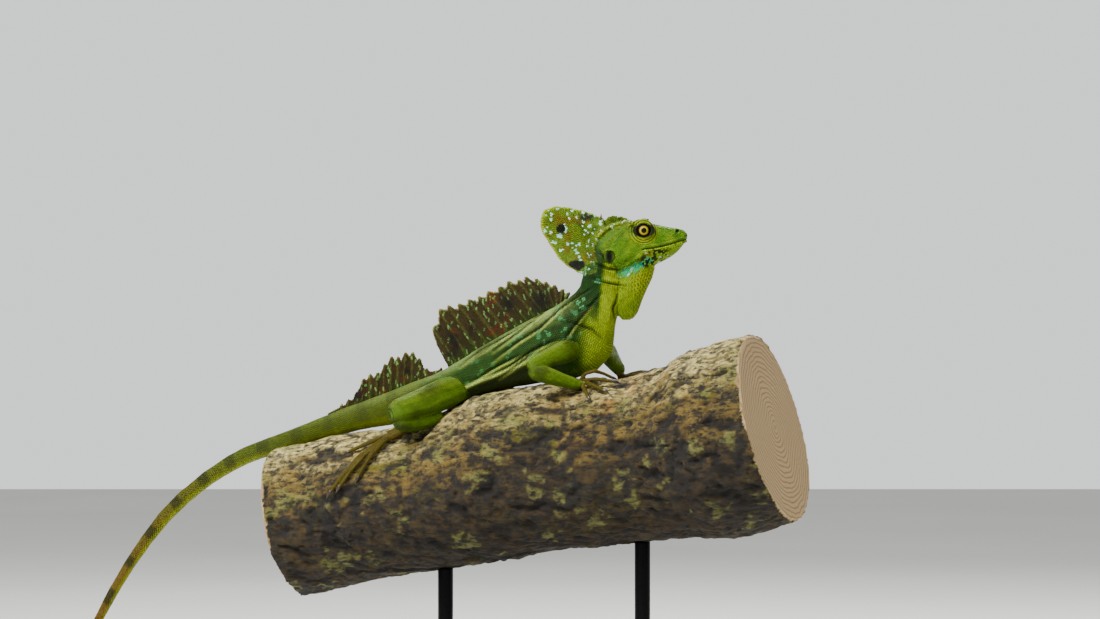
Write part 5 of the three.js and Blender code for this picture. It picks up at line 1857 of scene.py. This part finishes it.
class BasiliskStandSettings(bpy.types.PropertyGroup):
    bark_voxel: bpy.props.FloatProperty(
        name="Bark detail", description="Size of the smallest lump of bark", default=0.00145, unit="LENGTH"
    )
    rod_radius: bpy.props.FloatProperty(
        name="Rod radius", description="Radius of the two steel rods", default=0.005, unit="LENGTH"
    )
    bevel: bpy.props.FloatProperty(
        name="Base edge", description="Width of the rounded edge of the base", default=0.003, unit="LENGTH"
    )


class BasiliskStudioSettings(bpy.types.PropertyGroup):
    lens: bpy.props.FloatProperty(name="Lens", description="Focal length in millimetres", default=125.9)
    key_power: bpy.props.FloatProperty(
        name="Top light", description="Power of the large top light", default=72.0, unit="POWER"
    )
    fill_power: bpy.props.FloatProperty(
        name="Fill light", description="Power of the front fill light", default=14.0, unit="POWER"
    )
    rim_power: bpy.props.FloatProperty(
        name="Rim light", description="Power of the light from behind", default=34.0, unit="POWER"
    )
    floor: bpy.props.FloatVectorProperty(
        name="Floor", description="Colour of the floor", subtype="COLOR", size=4, default=rgba("#f1f0ea")
    )


def voxel_in_mm(size_m):
    return size_m / MM * 1


class BASILISK_OT_skin(bpy.types.Operator):
    """One closed skin over the whole animal, in place of its solids"""

    bl_idname = "basilisk.skin"
    bl_label = "Skin"

    def execute(self, context):
        skin = make_skin(voxel_in_mm(context.scene.basilisk_animal.skin_voxel), SKIN_TRIANGLES)
        unwrap(skin)
        p = Places(corners(skin), corner_normals(skin))
        # The skin is darkened with painted shade where it shows between the scales.
        set_paint(skin, paint(p) * UNDER_SCALES)
        give(skin, living_skin("lizard_skin", 0.55, 0.9, 0.08))
        finish_piece(skin, "skin", *FLESH, *PAWS)
        return {"FINISHED"}


class BASILISK_OT_scales(bpy.types.Operator):
    """The coat of scales over the skin, with the rings round the eyes and the plates of the lips"""

    bl_idname = "basilisk.scales"
    bl_label = "Scales"

    def execute(self, context):
        surface = Surface(bpy.data.objects["skin"])
        sites = scale_sites(surface, context.scene.basilisk_animal.scale_share)
        p = Places(sites[:, :3], sites[:, 3:6])
        ringed = (p.eye < EYE_RINGS[-1] + 0.4) & p.on_head & (np.abs(p.normals[:, 1]) > 0.06)
        sites = np.concatenate([sites[~ringed], eye_ring_sites(surface)])
        p = Places(sites[:, :3], sites[:, 3:6])
        colours = paint(p)
        horn = living_skin("lizard_scales", 0.42, 0.5, 0.03)
        bare = left_bare(p)
        paws = p.on_limb & (sites[:, 10] >= FIRST_PAW)
        head = p.on_head & ~bare
        body = ~p.on_head & ~paws & ~p.on_tail & ~bare
        coat_of("coat_head", sites[head], "pebble", colours[head], horn, lift=0.62)
        coat_of("coat_body", sites[body], "keeled", colours[body], horn)
        coat_of("coat_tail", sites[p.on_tail], "keeled", colours[p.on_tail], horn)
        coat_of("coat_paws", sites[paws], "keeled", colours[paws], horn, lift=0.75)
        plates = lip_plates(surface)
        p = Places(plates[:, :3], plates[:, 3:6])
        coat_of("lip_plates", plates, "pebble", paint(p), horn, lift=0.26)
        return {"FINISHED"}


class BASILISK_OT_fins(bpy.types.Operator):
    """The sail of the back, the tail crest and the two head crests, with their scales"""

    bl_idname = "basilisk.fins"
    bl_label = "Sails and crests"

    def execute(self, context):
        surface = Surface(bpy.data.objects["skin"])
        sail = living_skin("sail_skin", 0.72, 0.9, 0.05)
        dress_vane(surface, sail_vane(surface), "back_fin", sail_paint, "back_sail", sail, 1.25, "sail")
        dress_vane(surface, tail_vane(surface), "tail_fin", sail_paint, "tail_crest", sail, 1.25, "sail")
        crest = living_skin("crest_skin", 0.5, 0.9, 0.05)
        rear, front = rear_crest_vane(), front_crest_vane()
        dress_vane(surface, rear, "casque_rear", crest_paint, "head_crest_rear", crest, 1.2, "crest")
        dress_vane(surface, front, "casque_front", crest_paint, "head_crest_front", crest, 1.0, "crest")
        return {"FINISHED"}


class BASILISK_OT_eyes(bpy.types.Operator):
    """Two moist yellow eyes"""

    bl_idname = "basilisk.eyes"
    bl_label = "Eyes"

    def execute(self, context):
        s = context.scene.basilisk_animal
        wet = eye_material(tuple(s.iris), tuple(s.iris_rim))
        for side, node in ((-1, "eye_right"), (1, "eye_left")):
            eye = make_eye(side)
            give(eye, wet)
            finish_piece(eye, "eye", node)
        return {"FINISHED"}


class BASILISK_OT_ears(bpy.types.Operator):
    """Two eardrums"""

    bl_idname = "basilisk.ears"
    bl_label = "Ears"

    def execute(self, context):
        drum = eardrum_material()
        for node in ("ear_right", "ear_left"):
            ear = make_eardrum(node)
            give(ear, drum)
            finish_piece(ear, "ear", node)
        return {"FINISHED"}


class BASILISK_OT_claws(bpy.types.Operator):
    """The claws, and the small spine between the head crests"""

    bl_idname = "basilisk.claws"
    bl_label = "Claws"

    def execute(self, context):
        horn = plain_material("claw_horn", "#17120b", "#3a2d1a", 0.8, 0.3)
        for piece in (make_claws(), make_notch_spine()):
            give(piece, horn)
            finish_piece(piece, "skin")
        return {"FINISHED"}


class BASILISK_OT_branch(bpy.types.Operator):
    """The cut branch that the animal lies on"""

    bl_idname = "basilisk.branch"
    bl_label = "Branch"

    def execute(self, context):
        perch = make_perch(voxel_in_mm(context.scene.basilisk_stand.bark_voxel))
        set_number(perch, sawn_share(corners(perch)), "sawn")
        give(perch, bark_material())
        finish_piece(perch, "bark", "perch")
        return {"FINISHED"}


def turned_piece(name, node, radius, bevel, segments, vertices):
    """A cylinder in a node's place, with rounded edges."""
    low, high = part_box(node)
    bpy.ops.mesh.primitive_cylinder_add(
        vertices=vertices, radius=radius, depth=high.z - low.z, location=(low + high) / 2
    )
    piece = bpy.context.view_layer.objects.active
    piece.name = piece.data.name = name
    bpy.ops.object.transform_apply(location=True, rotation=True, scale=True)
    apply_modifier(piece, "BEVEL", width=bevel, segments=segments, limit_method="ANGLE")
    only(piece)
    bpy.ops.object.shade_smooth_by_angle(angle=SMOOTH_ANGLE)
    return piece


class BASILISK_OT_stand(bpy.types.Operator):
    """The round base and its two rods"""

    bl_idname = "basilisk.stand"
    bl_label = "Stand"

    def execute(self, context):
        s = context.scene.basilisk_stand
        low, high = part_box("stand_base")
        base = turned_piece("base_disc", "stand_base", (high.x - low.x) / 2, s.bevel, 5, 160)
        wood = plain_material("oiled_dark_wood", "#1d130c", "#3b281a", 6, 0.38, 0.15, stretch=(0.12, 1, 1))
        give(base, wood)
        finish_piece(base, "base", "stand_base", smooth=False)
        steel = plain_material("satin_black_steel", "#161616", "#1d1d1d", 0.7, 0.34, 0.01, metallic=1.0)
        for node in ("stand_rod_left", "stand_rod_right"):
            name = node.replace("stand_", "") + "_steel"
            rod = turned_piece(name, node, s.rod_radius, ROD_BEVEL, 3, 48)
            give(rod, steel)
            finish_piece(rod, "rod", node, smooth=False)
        return {"FINISHED"}


class BASILISK_OT_studio(bpy.types.Operator):
    """Pale floor, soft lights and the camera"""

    bl_idname = "basilisk.studio"
    bl_label = "Studio"

    def execute(self, context):
        s = context.scene.basilisk_studio
        bpy.ops.mesh.primitive_plane_add(size=FLOOR_SIZE, location=(0, 0, 0))
        floor = bpy.context.view_layer.objects.active
        floor.name = "floor"
        bpy.ops.object.transform_apply(location=True, rotation=True, scale=True)
        r = Recipe("painted_floor")
        place = r.add("ShaderNodeTexCoord").outputs["Object"]
        haze = r.add("ShaderNodeTexNoise", Vector=place, Scale=2.0).outputs["Fac"]
        pale = tuple(s.floor)
        shade = tuple(c * 0.94 for c in pale[:3]) + (1,)
        r.set(Base_Color=r.ramp(haze, [(0.3, shade), (0.7, pale)]), Roughness=0.85)
        give(floor, r.material)
        world = bpy.data.worlds.new("studio_air")
        context.scene.world = world
        world.use_nodes = True
        air = world.node_tree.nodes["Background"]
        air.inputs["Color"].default_value = rgba("#eef0f2")
        seen = world.node_tree.nodes.new("ShaderNodeLightPath").outputs["Is Camera Ray"]
        brighter = world.node_tree.nodes.new("ShaderNodeMath")
        brighter.operation = "MULTIPLY_ADD"
        brighter.inputs[1].default_value = AIR_SEEN - AIR_LIGHT
        brighter.inputs[2].default_value = AIR_LIGHT
        world.node_tree.links.new(seen, brighter.inputs[0])
        world.node_tree.links.new(brighter.outputs[0], air.inputs["Strength"])
        for name, (where, aim, size) in LIGHTS.items():
            power = {"top_light": s.key_power, "fill_light": s.fill_power, "rim_light": s.rim_power}[name]
            light = bpy.data.lights.new(name, "AREA")
            light.energy = power
            light.size = size
            lamp = bpy.data.objects.new(name, light)
            lamp.location = where
            lamp.rotation_euler = (Vector(aim) - Vector(where)).to_track_quat("-Z", "Y").to_euler()
            lamp.visible_glossy = name != "fill_light"
            context.scene.collection.objects.link(lamp)
        lens = bpy.data.cameras.new("camera")
        lens.sensor_width = 36
        lens.lens = s.lens
        camera = bpy.data.objects.new("camera", lens)
        camera.location = CAMERA_PLACE
        camera.rotation_euler = (math.pi / 2, 0, 0)
        context.scene.collection.objects.link(camera)
        context.scene.camera = camera
        return {"FINISHED"}


OPERATORS = [
    BASILISK_OT_studio,
    BASILISK_OT_skin,
    BASILISK_OT_scales,
    BASILISK_OT_fins,
    BASILISK_OT_eyes,
    BASILISK_OT_ears,
    BASILISK_OT_claws,
    BASILISK_OT_branch,
    BASILISK_OT_stand,
]
SETTINGS = {
    "basilisk_animal": BasiliskAnimalSettings,
    "basilisk_stand": BasiliskStandSettings,
    "basilisk_studio": BasiliskStudioSettings,
}


class BASILISK_PT_panel(bpy.types.Panel):
    """Sizes and colours of the model, and its steps in order"""

    bl_label = "Green basilisk"
    bl_idname = "BASILISK_PT_panel"
    bl_space_type = "VIEW_3D"
    bl_region_type = "UI"
    bl_category = "Basilisk"

    def draw(self, context):
        for key, kind in SETTINGS.items():
            box = self.layout.box()
            for name in kind.__annotations__:
                box.prop(getattr(context.scene, key), name)
        for operator in OPERATORS:
            self.layout.operator(operator.bl_idname)


def register():
    for kind in (*SETTINGS.values(), *OPERATORS, BASILISK_PT_panel):
        bpy.utils.register_class(kind)
    for key, kind in SETTINGS.items():
        setattr(bpy.types.Scene, key, bpy.props.PointerProperty(type=kind))


def unregister():
    for key in SETTINGS:
        delattr(bpy.types.Scene, key)
    for kind in (BASILISK_PT_panel, *OPERATORS, *SETTINGS.values()):
        bpy.utils.unregister_class(kind)


def main():
    register()
    bpy.ops.object.select_all(action="DESELECT")
    bpy.ops.basilisk.studio()
    bpy.ops.basilisk.skin()
    bpy.ops.basilisk.scales()
    bpy.ops.basilisk.fins()
    bpy.ops.basilisk.eyes()
    bpy.ops.basilisk.ears()
    bpy.ops.basilisk.claws()
    bpy.ops.basilisk.branch()
    bpy.ops.basilisk.stand()


if __name__ == "__main__":
    main()
